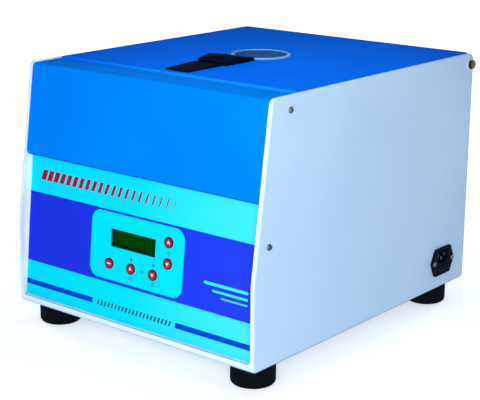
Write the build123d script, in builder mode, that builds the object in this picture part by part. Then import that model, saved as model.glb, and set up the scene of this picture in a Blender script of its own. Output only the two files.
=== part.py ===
from build123d import *
import os
from math import acos, cos, radians, sin, sqrt, tan

os.makedirs("parts", exist_ok=True)

# Butterfat centrifuge: a bench machine that spins eight butyrometers in a lidded steel cabinet.
# X runs to the right as seen from the front, Y to the back and Z up. The origin is on the bench,
# under the middle of the cabinet. All sizes are millimetres.

# Cabinet
body_width = 352.0
body_depth = 420.0
body_height = 282.0
foot_height = 26.5
knee_height = 95.0            # height over the cabinet's underside where the front starts to lean back
front_lean = 26.5             # how far back the top front corner stands
cabinet_sheet = 1.5
bend_radius = 2.0             # outside radius of the sheet's bends
side_lip = 4.5                # in-turned edge of each side
front_floor_lip = 9.0
rear_floor_lip = 16.0
top_rear_radius = 9.0
top_front_radius = 7.0
bottom_front_radius = 6.0
bottom_rear_radius = 3.5
knee_radius = 12.0
mouth_corner_radius = 5.0
sheet_clearance = 0.5         # between folded sheets that slide past each other

# Feet
foot_radius = 24.5
foot_edge_radius = 5.0
foot_inset_x = 29.5
foot_inset_front = 36.5
foot_inset_rear = 39.5
foot_recess_radius = 8.0
foot_recess_depth = 9.0
foot_screw_radius = 2.5
foot_screw_head_radius = 5.5
foot_screw_head_height = 3.2
foot_screw_tail = 8.0         # screw over the floor's underside
foot_nut_flats = 8.0
foot_nut_height = 4.0
hole_clearance = 0.2          # radial, round screws

# Lid and hinge
lid_rise = 1.2                # lid's top over the cabinet's top
lid_depth = 20.0
lid_sheet = 1.2
lid_side_gap = 1.0
lid_front_setback = 71.0      # lid's front edge behind the cabinet's front
lid_fold_radius = 2.5
lid_skirt_drop = 17.0         # rear skirt's edge under the hinge axis
skirt_clearance = 1.3         # between the swinging skirt and the rear panel
hinge_inset = 10.0            # hinge axis in from the cabinet's back
hinge_drop = 12.5             # hinge axis under the cabinet's top
hinge_ear_radius = 10.0
hinge_bolt_radius = 3.0
hinge_running_clearance = 0.06
hinge_axial_gap = 0.3
hinge_head_flats = 10.0
hinge_head_height = 4.0
hinge_washer_radius = 7.0
hinge_washer_thickness = 1.4
hinge_spacer_radius = 5.0
hinge_nut_thickness = 5.0
hinge_bolt_tail = 1.0         # bolt past its nut
liner_sheet = 1.0
liner_rear_inset = 14.0       # liner's rear edge in front of the hinge axis
liner_flange = 9.0

# Spindle, bowl and deck
bowl_front_room = 43.0        # deck in front of the bowl and behind it, from the bowl's inside
bowl_rear_room = 19.5
bowl_sheet = 1.2
bowl_rim_width = 9.0
bowl_corner_radius = 14.0
motor_bowl_gap = 3.3          # between the motor's boss and the bowl
bowl_eye_radius = 22.0        # hole in the bowl's floor for the spindle's seal
gasket_thickness = 3.0
gasket_width = 6.0
gasket_gap = 0.3              # between the gasket and the closed lid
deck_sheet = 1.2
deck_front_setback = 44.0     # deck's front edge behind the cabinet's front
deck_rear_inset = 19.5        # deck's rear edge in front of the hinge axis
deck_hole_clearance = 0.4
deck_side_gap = 1.6
deck_tab_width = 14.0
seal_gap = 1.0                # between the shaft and its seal
seal_lip = 1.5
seal_lap = 2.0

# Hood and seam
hood_sheet = 1.2
hood_recess = 4.0             # hood's face behind the sides' front edges
hood_bottom = 176.0           # hood's lower edge over the cabinet's underside
hood_lid_gap = 1.0            # seam between the hood and the lid
hood_cheek_depth = 17.0
hood_fold_radius = 3.0
hood_corner_radius = 6.0

# Control panel
panel_setback = 6.0           # panel's foot behind the cabinet's front, at the floor's front lip
panel_lean = 5.8              # degrees
panel_sheet = 1.5
panel_side_gap = 1.7
panel_below = 6.0             # panel's extent below and above the top of the floor's front lip
panel_above = 180.0
panel_flange = 12.0
overlay_thickness = 0.4
overlay_above = 176.0
overlay_margin = 0.8
display_x = -5.8
display_height = 93.0
display_width = 63.4
display_depth = 17.2
display_sheet = 1.5
display_lap = 2.0             # how far the window laps behind the overlay
lcd_board_width = 80.0
lcd_board_height = 36.0
lcd_bezel_width = 71.0
lcd_bezel_height = 24.0
lcd_bezel_thickness = 6.0
lcd_bezel_corner = 1.0
board_sheet = 1.6
key_radius = 6.2
key_gap = 0.3
key_cap_thickness = 0.9
key_lift = 0.2                # cap's underside over the overlay's face
key_stem_radius = 3.8
key_cap_edge = 0.3
key_stem_length = 4.4
key_clip_thickness = 0.6
key_travel = 0.5
key_places = {
    "key_speed_up": (46.5, 103.6),
    "key_speed_down": (46.5, 80.0),
    "key_program": (-39.5, 63.3),
    "key_time_up": (-6.8, 63.3),
    "key_time_down": (25.9, 63.3),
}
control_board_width = 150.0
control_board_height = 92.0
control_board_drop = 11.0     # board's middle under the display's
control_board_corner = 3.0
control_board_hole_x = 138.0
control_board_hole_y = 82.0
control_board_setback = 13.0  # board's face behind the overlay's face
board_hole_radius = 1.6
switch_width = 6.0
switch_height = 5.0
switch_plunger_radius = 1.75
processor_place = (-20.0, 84.0)
processor_width = 36.0
processor_height = 15.0
processor_thickness = 3.5
relay_place = (42.0, 60.0)
relay_width = 28.0
relay_height = 12.0
plug_place = (-50.0, 56.0)
plug_width = 20.0
plug_height = 8.0
relay_thickness = 10.0
switch_plunger_reach = 8.0
lcd_standoff = 3.0
lcd_glass_recess = 0.8        # glass under the face of the metal frame
lcd_hole_inset = 2.5
lcd_hole_radius = 1.3
lcd_spacer_radius = 2.2

# Window in the lid
window_radius = 31.7
window_thickness = 3.0
window_ring_radius = 35.0
window_ring_height = 1.8
window_ring_wall = 1.1
window_ledge = 1.4
window_fit = 0.1
window_collar_gap = 0.7
window_ring_edge = 0.7
window_edge = 0.4
window_ring_lap = 2.0         # ring over the edge of the lid's hole
window_ring_foot = 1.2        # ledge under the pane
window_proud = 1.0            # ring's top over the pane's

# Lid latch
latch_base_half_width = 16.5
latch_base_setback = 10.0     # latch's front end behind the lid's front edge
latch_window_gap = 3.0        # between the grip and the window's ring
latch_base_tail = 5.0         # base's rear end in front of the grip's rear end
latch_nose_height = 1.5
latch_wedge_height = 3.6
latch_wedge_gap = 1.0         # between the wedge and the grip slid forward
latch_rail_height = 2.4
latch_grip_half_width = 21.5
latch_grip_length = 51.0
latch_grip_peak = 31.0        # peak and stem in front of the grip's rear end
latch_stem_place = 37.0
latch_grip_height = 8.4
latch_grip_front_height = 4.4
latch_grip_rear_height = 3.6
latch_peak_radius = 6.0
latch_grip_corner = 1.5
latch_base_corner = 1.0
latch_bolt_corner = 2.0
latch_bolt_edge = 0.8
latch_clearance = 0.3
latch_travel = 9.0
latch_stem_half_width = 5.0
latch_stem_length = 14.0
latch_bolt_half_width = 12.0
latch_bolt_thickness = 3.0
latch_bolt_top = 5.2          # bolt's upper face under the lid's top face
latch_bolt_tail = 9.0         # bolt's rear end behind the stem
latch_bolt_nose_gap = 0.8     # from the bolt's nose to the lid's front face, inside, when it is open
latch_guide_width = 12.0
latch_guide_front = 21.0      # front strap behind the lid's front edge
latch_guide_rear = 4.0        # rear strap in front of the wedge's end
latch_guide_sheet = 1.2
latch_guide_foot = 8.0
latch_screw_front = 36.0      # front screw behind the lid's front edge
latch_screw_rear = 11.0       # rear screw in front of the grip's rear end
latch_screw_length = 3.0
latch_screw_radius = 1.5
latch_screw_head = 1.6
latch_stem_gap = 0.3
sensor_side_inset = 54.5      # sensor in from the left side's inner face
sensor_setback = 21.0         # sensor behind the lid's front edge
sensor_length = 24.0
sensor_height = 9.0
sensor_thickness = 7.0
sensor_corner = 1.5
magnet_length = 18.0
magnet_thickness = 5.0

# Rotor
shaft_radius = 6.0
shaft_bore_clearance = 0.06
shaft_thread_radius = 5.0
shaft_collar_radius = 9.0
shaft_collar_height = 6.0
shaft_end_gap = 0.5
cup_count = 8
cup_tilt = 34.0               # degrees from upright
cup_foot_gap = 20.0           # from the middle of a cup's foot to the bowl's side
cup_foot_clearance = 5.0      # cup's lowest point over the bowl's floor
cup_bore_radius = 13.25
cup_wall = 0.9
cup_length = 94.5
cup_rim_height = 2.5
cup_rim_radius = 17.5
cup_foot_chamfer = 1.6
cup_floor = 2.0
cup_seat_clearance = 0.15
cushion_thickness = 3.0
cushion_radius = 12.75
boss_radius = 18.6
boss_length = 30.0
boss_proud = 2.0
dish_thickness = 4.5
dish_foot_gap = 25.0          # dish's rim inside the circle of the cups' feet
dish_rim_drop = 7.0
dish_lap = 4.0                # dish reaches into the hub this far from the shaft
hub_radius = 15.0
hub_height = 38.0
hub_rise = 25.9               # hub's top over the point of the dish's cone
gusset_thickness = 3.5
gusset_rim_gap = 35.0         # gusset's end inside the dish's rim
nut_radius = 13.0
nut_height = 13.0
nut_flute_count = 10
nut_flute_radius = 1.6
nut_cap = 2.0                 # closed top of the nut

# Motor
motor_radius = 46.0
motor_height = 70.0
motor_boss_radius = 15.0
motor_boss_height = 3.0
motor_end_height = 12.0
motor_fin_count = 16
motor_fin_depth = 3.0
motor_fin_width = 3.0
motor_edge = 2.0
motor_plate_size = 124.0
motor_plate_corner = 8.0
motor_plate_thickness = 3.0
motor_hole_spacing = 100.0
isolator_radius = 9.0
isolator_height = 12.0
isolator_waist = 1.8
motor_bolt_radius = 2.5
motor_bolt_flats = 8.0
motor_bolt_nut = 4.0
motor_bolt_head = 3.5
motor_bolt_tail = 2.0
motor_bore_depth = 64.0

# Inlet
inlet_rear_inset = 54.8       # inlet's middle in front of the cabinet's back
inlet_height = 34.0           # inlet's middle over the cabinet's underside
inlet_tip = 25.0
inlet_half_height = 17.0
inlet_shoulder = 16.5
inlet_flange = 3.0
inlet_corner = 2.5
inlet_screw_spacing = 40.0
inlet_body_width = 27.0
inlet_body_height = 31.0
inlet_body_depth = 28.0
socket_width = 24.0
socket_height = 16.0
socket_rise = 6.0
socket_depth = 17.0
socket_chamfer = 4.0
drawer_width = 22.5
drawer_height = 9.0
drawer_drop = 9.5
drawer_depth = 22.0
drawer_gap = 0.3
drawer_proud = 1.2
drawer_wall = 5.0
drawer_floor = 1.5
drawer_corner = 0.8
pin_half_pitch = 7.0
live_pin_rise = 1.0           # pins over and under the socket's middle
earth_pin_drop = 3.0
pin_width = 2.0
pin_height = 4.0
pin_tail = 6.0
fuse_radius = 2.6
fuse_length = 20.0
fuse_spacing = 1.0            # between the two fuses
fuse_end_gap = 0.3

# Side screws and rear panel
screw_radius = 2.0
screw_head_radius = 3.6
screw_head_height = 2.2
screw_gap = 0.05              # radial, in the pieces that the screws hold
case_screw_length = 7.0
hood_screw_setback = 29.0     # behind the sides' top front corner
hood_screw_drop = 14.7        # under the cabinet's top
panel_screw_setback = 23.5    # behind the cabinet's front
panel_screw_height = 131.3
rear_sheet = 1.2
rear_screw_spacing = 150.0
rear_screw_height = 9.6       # over the cabinet's underside
louvre_length = 92.0
louvre_height = 9.0
louvre_depth = 3.0
louvre_pitch = 17.0
louvre_rows = 7
louvre_column_x = 74.0
louvre_first = 60.0           # lowest louvre over the cabinet's underside
rear_hook = 3.0               # how far the rear panel's top tucks under the deck

# Drive board and cooling slots
drive_board_side_gap = 12.5   # from the left side's inner face
drive_board_y = 30.0
drive_board_width = 84.0
drive_board_length = 150.0
drive_board_lift = 8.0
drive_hole_inset = 4.0
cooler_inset = 22.0           # cooling block's middle left of the board's middle
cooler_width = 30.0
cooler_length = 70.0
cooler_height = 28.0
cooler_base = 5.0
cooler_gap_pitch = 5.0
cooler_gap_width = 2.4
cooler_gap_count = 6
capacitor_inset = 18.0        # capacitors right of the board's middle
capacitor_radius = 11.0
capacitor_height = 32.0
capacitor_pitch = 26.0
transformer_inset_x = 14.0
transformer_inset_y = 48.0
transformer_width = 38.0
transformer_length = 32.0
transformer_height = 24.0
terminal_inset = 62.0
terminal_width = 60.0
terminal_length = 10.0
terminal_height = 12.0
spacer_radius = 3.0
vent_count = 7
vent_pitch = 9.0
vent_length = 34.0
vent_width = 3.5

# Levels and lines worked out from the sizes
floor_z = foot_height
top_z = foot_height + body_height
front_y = -body_depth / 2
rear_y = body_depth / 2
side_x = body_width / 2
inner_x = side_x - cabinet_sheet
lean_run = front_lean / (body_height - knee_height)
hood_top_z = top_z - cabinet_sheet
lid_top_z = top_z + lid_rise
lid_bottom_z = lid_top_z - lid_depth
lid_half_width = side_x - side_lip - lid_side_gap
lid_front_y = front_y + lid_front_setback
hood_rear_y = lid_front_y - hood_lid_gap
hinge_y = rear_y - hinge_inset
hinge_z = top_z - hinge_drop
liner_rear_y = hinge_y - liner_rear_inset
deck_top_z = lid_bottom_z - gasket_gap - gasket_thickness - bowl_sheet
deck_front_y = front_y + deck_front_setback
deck_rear_y = hinge_y - deck_rear_inset
bowl_front_y = deck_front_y + bowl_front_room
bowl_rear_y = deck_rear_y - bowl_rear_room
bowl_radius = (bowl_rear_y - bowl_front_y) / 2
spindle_y = (bowl_front_y + bowl_rear_y) / 2
spindle_axis = Axis((0, spindle_y, 0), (0, 0, 1))
spindle_plane = Plane.XZ.offset(-spindle_y)
skirt_reach = sqrt(hinge_inset**2 + lid_skirt_drop**2)
rear_top_z = hinge_z - skirt_reach - skirt_clearance
motor_foot_z = floor_z + cabinet_sheet + isolator_height + motor_plate_thickness
motor_top_z = motor_foot_z + motor_height
bowl_floor_z = motor_top_z + motor_boss_height + motor_bowl_gap
bowl_floor_top = bowl_floor_z + bowl_sheet
panel_foot_y = front_y + panel_setback
panel_foot_z = floor_z + front_floor_lip
panel_half_width = inner_x - panel_side_gap
inlet_y = rear_y - inlet_rear_inset
drive_board_x = drive_board_side_gap + drive_board_width / 2 - inner_x

# the latch, its guides and the sensor, from the lid's front edge back to the window
latch_grip_rear_y = spindle_y - window_ring_radius - latch_window_gap
latch_grip_front_y = latch_grip_rear_y - latch_grip_length
latch_grip_peak_y = latch_grip_rear_y - latch_grip_peak
latch_stem_y = latch_grip_rear_y - latch_stem_place
latch_base_front_y = lid_front_y + latch_base_setback
latch_base_rear_y = latch_grip_rear_y - latch_base_tail
latch_wedge_rear_y = latch_grip_front_y - latch_travel - latch_wedge_gap
latch_bolt_rear_y = latch_stem_y + latch_stem_length / 2 + latch_bolt_tail
latch_guide_spots = (lid_front_y + latch_guide_front, latch_wedge_rear_y - latch_guide_rear)
latch_screw_spots = (lid_front_y + latch_screw_front, latch_grip_rear_y - latch_screw_rear)
sensor_x = sensor_side_inset - inner_x
sensor_y = lid_front_y + sensor_setback

# the cups lean in over the dish
cup_tilt_sin = sin(radians(cup_tilt))
cup_tilt_cos = cos(radians(cup_tilt))
cup_tilt_tan = tan(radians(cup_tilt))
cup_outer_radius = cup_bore_radius + cup_wall
cup_foot_radius = bowl_radius - cup_foot_gap
cup_foot_z = bowl_floor_top + cup_foot_clearance + cup_outer_radius * cup_tilt_sin
cup_seat = cup_length - cup_rim_height
seat_radius = cup_foot_radius - cup_seat * cup_tilt_sin
seat_z = cup_foot_z + cup_seat * cup_tilt_cos
dish_outer_radius = cup_foot_radius - dish_foot_gap
gusset_reach = dish_outer_radius - gusset_rim_gap
hub_top_z = seat_z - seat_radius * cup_tilt_tan + hub_rise


def side_edge_y(height):
    """Front edge of the side at a height over the cabinet's underside."""
    return front_y + max(0.0, height - knee_height) * lean_run


def side_outline():
    """Outline of the cabinet seen from the right, with its corners rounded."""
    with BuildSketch(Plane.YZ) as outline:
        with BuildLine():
            Polyline(
                (front_y, floor_z),
                (front_y, floor_z + knee_height),
                (front_y + front_lean, top_z),
                (rear_y, top_z),
                (rear_y, floor_z),
                close=True,
            )
        make_face()
        for corner, corner_radius in (
            ((front_y, floor_z), bottom_front_radius),
            ((front_y, floor_z + knee_height), knee_radius),
            ((front_y + front_lean, top_z), top_front_radius),
            ((rear_y, top_z), top_rear_radius),
            ((rear_y, floor_z), bottom_rear_radius),
        ):
            fillet(outline.vertices().sort_by_distance(corner)[0], radius=corner_radius)
    return outline.sketch


def radial_plane(angle):
    """Upright plane through the spindle's axis, turned by an angle from the right-hand side."""
    turn = radians(angle)
    return Plane(origin=(0, spindle_y, 0), x_dir=(cos(turn), sin(turn), 0), z_dir=(sin(turn), -cos(turn), 0))


def cup_plane(index):
    """Plane across a cup's foot, facing up along the cup's leaning axis."""
    turn = radians(360 / cup_count * index)
    return Plane(
        origin=(cup_foot_radius * cos(turn), spindle_y + cup_foot_radius * sin(turn), cup_foot_z),
        x_dir=(-sin(turn), cos(turn), 0),
        z_dir=(-cup_tilt_sin * cos(turn), -cup_tilt_sin * sin(turn), cup_tilt_cos),
    )


def side_plane(sign):
    """Plane on the outer face of the left (-1) or right (+1) side, facing outwards."""
    return Plane(origin=(sign * side_x, 0, 0), x_dir=(0, sign, 0), z_dir=(sign, 0, 0))


def pan_screw(shank_radius, shank_length, head_radius, head_height):
    """Pan-head screw: the head stands on the XY plane and the shank hangs below it."""
    with BuildPart() as screw:
        with BuildSketch():
            Circle(shank_radius)
        extrude(amount=-shank_length)
        with BuildSketch():
            Circle(head_radius)
        extrude(amount=head_height)
        chamfer(screw.edges().sort_by(Axis.Z)[-1], length=head_height * 0.35)
    return screw.part


# Cabinet shell
cabinet_outline = side_outline()
cavity_outline = offset(cabinet_outline, amount=-cabinet_sheet)
foot_spots = [
    (x, y)
    for y in (front_y + foot_inset_front, rear_y - foot_inset_rear)
    for x in (foot_inset_x - side_x, side_x - foot_inset_x)
]
deck_tab_spots = [
    (x, y)
    for y in (deck_front_y + deck_tab_width, deck_rear_y - deck_tab_width)
    for x in (deck_tab_width / 2 - inner_x, inner_x - deck_tab_width / 2)
]
side_screw_spots = [
    (front_y + front_lean + hood_screw_setback, top_z - hood_screw_drop),
    (front_y + panel_screw_setback, floor_z + panel_screw_height),
]
rear_screw_spots = [(x, floor_z + rear_screw_height) for x in (-rear_screw_spacing, 0, rear_screw_spacing)]
inlet_z = floor_z + inlet_height

with BuildPart() as cabinet_shell:
    extrude(cabinet_outline, amount=side_x, both=True)
    fillet(cabinet_shell.faces().filter_by(Axis.X).edges(), radius=bend_radius)
    extrude(cavity_outline, amount=inner_x, both=True, mode=Mode.SUBTRACT)
    # the front and top stand open between the sides' lips, down to the floor's front lip
    with BuildSketch(Plane.XZ):
        with Locations((0, floor_z + front_floor_lip + body_height / 2)):
            RectangleRounded(2 * (side_x - side_lip), body_height, mouth_corner_radius)
    extrude(amount=body_depth, mode=Mode.SUBTRACT)
    # the back stands open down to the floor's rear lip
    with BuildSketch(Plane.XZ):
        with Locations((0, floor_z + rear_floor_lip + body_height / 2)):
            RectangleRounded(2 * (side_x - side_lip), body_height, mouth_corner_radius)
    extrude(amount=-body_depth, mode=Mode.SUBTRACT)
    # tabs welded inside the sides carry the deck's corners
    with BuildSketch(Plane.XY.offset(deck_top_z - deck_sheet)):
        with Locations(*deck_tab_spots):
            Rectangle(deck_tab_width, deck_tab_width)
    extrude(amount=-cabinet_sheet)
    with BuildSketch(Plane.XY.offset(deck_top_z - deck_sheet)):
        with Locations(*deck_tab_spots):
            Circle(screw_radius + hole_clearance)
    extrude(amount=-cabinet_sheet, mode=Mode.SUBTRACT)
    # holes in the floor: feet, motor and cooling slots
    with BuildSketch(Plane.XY.offset(floor_z)):
        with Locations(*foot_spots):
            Circle(foot_screw_radius + hole_clearance)
        with Locations((0, spindle_y)):
            with GridLocations(motor_hole_spacing, motor_hole_spacing, 2, 2):
                Circle(motor_bolt_radius + hole_clearance)
            with GridLocations(vent_pitch, 0, vent_count, 1):
                SlotOverall(vent_length, vent_width, rotation=90)
    extrude(amount=cabinet_sheet, mode=Mode.SUBTRACT)
    # hinge bolts and side screws pass through both sides
    with BuildSketch(Plane.YZ):
        with Locations((hinge_y, hinge_z)):
            Circle(hinge_bolt_radius + hole_clearance)
        with Locations(*side_screw_spots):
            Circle(screw_radius + hole_clearance)
    extrude(amount=side_x, both=True, mode=Mode.SUBTRACT)
    # the inlet's cut-out and its two screw holes, in the right side only
    with BuildSketch(Plane.YZ.offset(inner_x)):
        with Locations((inlet_y, inlet_z)):
            Rectangle(inlet_body_width + sheet_clearance, inlet_body_height + sheet_clearance)
            with GridLocations(inlet_screw_spacing, 0, 2, 1):
                Circle(screw_radius + hole_clearance)
    extrude(amount=cabinet_sheet, mode=Mode.SUBTRACT)
    # the rear panel's screws pass through the floor's rear lip
    with BuildSketch(Plane.XZ.offset(-rear_y)):
        with Locations(*rear_screw_spots):
            Circle(screw_radius + hole_clearance)
    extrude(amount=cabinet_sheet, mode=Mode.SUBTRACT)
cabinet_shell.part.label = "cabinet_shell"
export_step(cabinet_shell.part, "parts/cabinet_shell.step")

# Feet and their screws
with BuildPart() as foot:
    with BuildSketch(Plane.XZ) as foot_section:
        with BuildLine():
            Polyline(
                (foot_screw_radius + hole_clearance, foot_height),
                (foot_radius, foot_height),
                (foot_radius, 0),
                (foot_recess_radius, 0),
                (foot_recess_radius, foot_recess_depth),
                (foot_screw_radius + hole_clearance, foot_recess_depth),
                close=True,
            )
        make_face()
        fillet(foot_section.vertices().sort_by_distance((foot_radius, 0))[0], radius=foot_edge_radius)
    revolve(axis=Axis.Z)

with BuildPart() as feet:
    with Locations(*foot_spots):
        add(foot.part)
feet.part.label = "feet"
export_step(feet.part, "parts/feet.step")

foot_screw = pan_screw(
    foot_screw_radius,
    foot_height - foot_recess_depth + foot_screw_tail,
    foot_screw_head_radius,
    foot_screw_head_height,
)
with BuildPart() as foot_screws:
    with Locations(*[Plane(origin=(x, y, foot_recess_depth), z_dir=(0, 0, -1)) for x, y in foot_spots]):
        add(foot_screw)
    # nut on the cabinet's floor
    with BuildSketch(Plane.XY.offset(floor_z + cabinet_sheet)):
        with Locations(*foot_spots):
            RegularPolygon(radius=foot_nut_flats / 2, side_count=6, major_radius=False)
    extrude(amount=foot_nut_height)
foot_screws.part.label = "foot_screws"
export_step(foot_screws.part, "parts/foot_screws.step")

# Rear panel, with pressed louvres
rear_face_y = rear_y - cabinet_sheet
rear_bottom_z = floor_z + bottom_rear_radius + sheet_clearance
rear_hook_y = deck_rear_y - deck_sheet - rear_hook


def louvre_section(depth, height):
    """Quarter-round section of a louvre, open below, from behind the sheet."""
    with BuildSketch() as section:
        with BuildLine():
            Line((-rear_sheet, 0), (depth, 0))
            EllipticalCenterArc((0, 0), depth, height, start_angle=0, arc_size=90)
            Line((0, height), (-rear_sheet, height))
            Line((-rear_sheet, height), (-rear_sheet, 0))
        make_face()
    return section.sketch


louvre_levels = [(rear_face_y, floor_z + louvre_first + louvre_pitch * row) for row in range(louvre_rows)]
with BuildPart() as rear_panel:
    with BuildSketch(Plane.YZ) as rear_section:
        with BuildLine():
            Polyline(
                (rear_face_y, rear_bottom_z),
                (rear_face_y, rear_top_z),
                (rear_hook_y, rear_top_z),
                (rear_hook_y, rear_top_z - rear_sheet),
                (rear_face_y - rear_sheet, rear_top_z - rear_sheet),
                (rear_face_y - rear_sheet, rear_bottom_z),
                close=True,
            )
        make_face()
        fillet(rear_section.vertices().sort_by_distance((rear_face_y, rear_top_z))[0], radius=bend_radius)
    extrude(amount=inner_x - sheet_clearance, both=True)
    for column_x in (-louvre_column_x, louvre_column_x):
        louvre_start = column_x - louvre_length / 2
        with BuildSketch(Plane.YZ.offset(louvre_start)):
            with Locations(*louvre_levels):
                add(louvre_section(louvre_depth, louvre_height))
        extrude(amount=louvre_length)
        with BuildSketch(Plane.YZ.offset(louvre_start + rear_sheet)):
            with Locations(*louvre_levels):
                add(louvre_section(louvre_depth - rear_sheet, louvre_height - rear_sheet))
        extrude(amount=louvre_length - 2 * rear_sheet, mode=Mode.SUBTRACT)
    with BuildSketch(Plane.XZ.offset(-rear_y)):
        with Locations(*rear_screw_spots):
            Circle(screw_radius)
    extrude(amount=cabinet_sheet + rear_sheet, mode=Mode.SUBTRACT)
rear_panel.part.label = "rear_panel"
export_step(rear_panel.part, "parts/rear_panel.step")

case_screw = pan_screw(screw_radius - screw_gap, case_screw_length, screw_head_radius, screw_head_height)
with BuildPart() as rear_screws:
    with Locations(*[Plane(origin=(x, rear_y, z), z_dir=(0, 1, 0)) for x, z in rear_screw_spots]):
        add(case_screw)
rear_screws.part.label = "rear_screws"
export_step(rear_screws.part, "parts/rear_screws.step")

# Hood: face, top band, cheeks and seam flange
hood_bottom_z = floor_z + hood_bottom
hood_face_bottom_y = side_edge_y(hood_bottom) + hood_recess
hood_face_top_y = side_edge_y(hood_top_z - floor_z) + hood_recess
panel_lean_tan = tan(radians(panel_lean))
panel_top_y = panel_foot_y + (hood_bottom_z - panel_foot_z) * panel_lean_tan
bolt_top_z = lid_top_z - latch_bolt_top
bolt_middle_z = bolt_top_z - latch_bolt_thickness / 2

with BuildPart() as hood:
    with BuildSketch(Plane.YZ):
        with BuildLine():
            Polyline(
                (hood_face_bottom_y, hood_bottom_z),
                (hood_face_top_y, hood_top_z),
                (hood_rear_y, hood_top_z),
                (hood_rear_y, deck_top_z),
                (hood_face_top_y + hood_cheek_depth, deck_top_z),
                (hood_face_bottom_y + hood_cheek_depth, hood_bottom_z),
                close=True,
            )
        make_face()
    extrude(amount=inner_x - hole_clearance, both=True)
    fillet(hood.edges().filter_by(Axis.Y).group_by(Axis.Z)[0], radius=hood_corner_radius)
    fillet(hood.edges().sort_by_distance((0, hood_face_top_y, hood_top_z))[0], radius=hood_fold_radius)
    fillet(hood.edges().sort_by_distance((0, hood_rear_y, hood_top_z))[0], radius=bend_radius)
    hood_back_faces = hood.faces().filter_by(GeomType.PLANE).filter_by(lambda face: face.normal_at().Y > 0.9)
    hood_openings = [
        hood.faces().sort_by_distance((0, hood_rear_y - hood_cheek_depth / 2, deck_top_z))[0],
        hood_back_faces.sort_by(Axis.Z)[0],
    ]
    offset(amount=-hood_sheet, openings=hood_openings)
    # the lower flange and its corners stop short of the control panel
    with BuildSketch(Plane.XY.offset(hood_bottom_z)):
        with Locations((0, panel_top_y - panel_sheet + hood_cheek_depth)):
            Rectangle(2 * inner_x, 2 * hood_cheek_depth)
    extrude(amount=hood_corner_radius, mode=Mode.SUBTRACT)
    # slot in the seam flange for the lid's bolt
    with BuildSketch(Plane.XZ.offset(-hood_rear_y)):
        with Locations((0, bolt_middle_z)):
            RectangleRounded(
                2 * (latch_bolt_half_width + sheet_clearance),
                latch_bolt_thickness + 2 * sheet_clearance,
                sheet_clearance,
            )
    extrude(amount=hood_sheet, mode=Mode.SUBTRACT)
    # holes in the cheeks for the side screws
    with BuildSketch(Plane.YZ):
        with Locations(side_screw_spots[0]):
            Circle(screw_radius)
    extrude(amount=side_x, both=True, mode=Mode.SUBTRACT)
hood.part.label = "hood"
export_step(hood.part, "parts/hood.step")

# Side screws
with BuildPart() as side_screws:
    for sign in (-1, 1):
        with Locations(*[side_plane(sign) * Pos(sign * y, z) for y, z in side_screw_spots]):
            add(case_screw)
side_screws.part.label = "side_screws"
export_step(side_screws.part, "parts/side_screws.step")

# Control panel: a leaning pan with its overlay
panel_plane = Plane(
    origin=(0, panel_foot_y, panel_foot_z),
    x_dir=(1, 0, 0),
    z_dir=(0, -cos(radians(panel_lean)), sin(radians(panel_lean))),
)
panel_face = panel_plane.offset(-overlay_thickness)
panel_back = panel_face.offset(-panel_sheet)
panel_middle = (panel_above - panel_below) / 2
key_spots = list(key_places.values())

with BuildPart() as control_panel:
    with BuildSketch(panel_face):
        with Locations((0, panel_middle)):
            RectangleRounded(2 * panel_half_width, panel_above + panel_below, bend_radius)
    extrude(amount=-panel_flange)
    with BuildSketch(panel_back):
        with Locations((0, panel_middle)):
            Rectangle(2 * (panel_half_width - panel_sheet), panel_above + panel_below - 2 * panel_sheet)
    extrude(amount=-panel_flange, mode=Mode.SUBTRACT)
    with BuildSketch(panel_face):
        with Locations((display_x, display_height)):
            Rectangle(display_width + 2 * display_lap, display_depth + 2 * display_lap)
        with Locations(*key_spots):
            Circle(key_stem_radius + key_gap)
    extrude(amount=-panel_sheet, mode=Mode.SUBTRACT)
    with BuildSketch(Plane.YZ):
        with Locations(side_screw_spots[1]):
            Circle(screw_radius)
    extrude(amount=side_x, both=True, mode=Mode.SUBTRACT)
control_panel.part.label = "control_panel"
export_step(control_panel.part, "parts/control_panel.step")

with BuildPart() as panel_overlay:
    with BuildSketch(panel_face):
        with Locations((0, overlay_above / 2)):
            Rectangle(2 * (panel_half_width - overlay_margin), overlay_above)
        with Locations((display_x, display_height)):
            Rectangle(display_width, display_depth, mode=Mode.SUBTRACT)
        with Locations(*key_spots):
            Circle(key_radius + key_gap, mode=Mode.SUBTRACT)
    extrude(amount=overlay_thickness)
panel_overlay.part.label = "panel_overlay"
export_step(panel_overlay.part, "parts/panel_overlay.step")

with BuildPart() as display_window:
    with BuildSketch(panel_back):
        with Locations((display_x, display_height)):
            Rectangle(
                display_width + 2 * (display_lap - sheet_clearance / 2),
                display_depth + 2 * (display_lap - sheet_clearance / 2),
            )
    extrude(amount=display_sheet)
display_window.part.label = "display_window"
export_step(display_window.part, "parts/display_window.step")

# Display module and control board
lcd_face = panel_back.offset(-sheet_clearance)
lcd_board_face = lcd_face.offset(-lcd_bezel_thickness)
board_face = panel_plane.offset(-control_board_setback)
board_middle = (0, display_height - control_board_drop)
lcd_hole_x = lcd_board_width - 2 * lcd_hole_inset
lcd_hole_y = lcd_board_height - 2 * lcd_hole_inset

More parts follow.
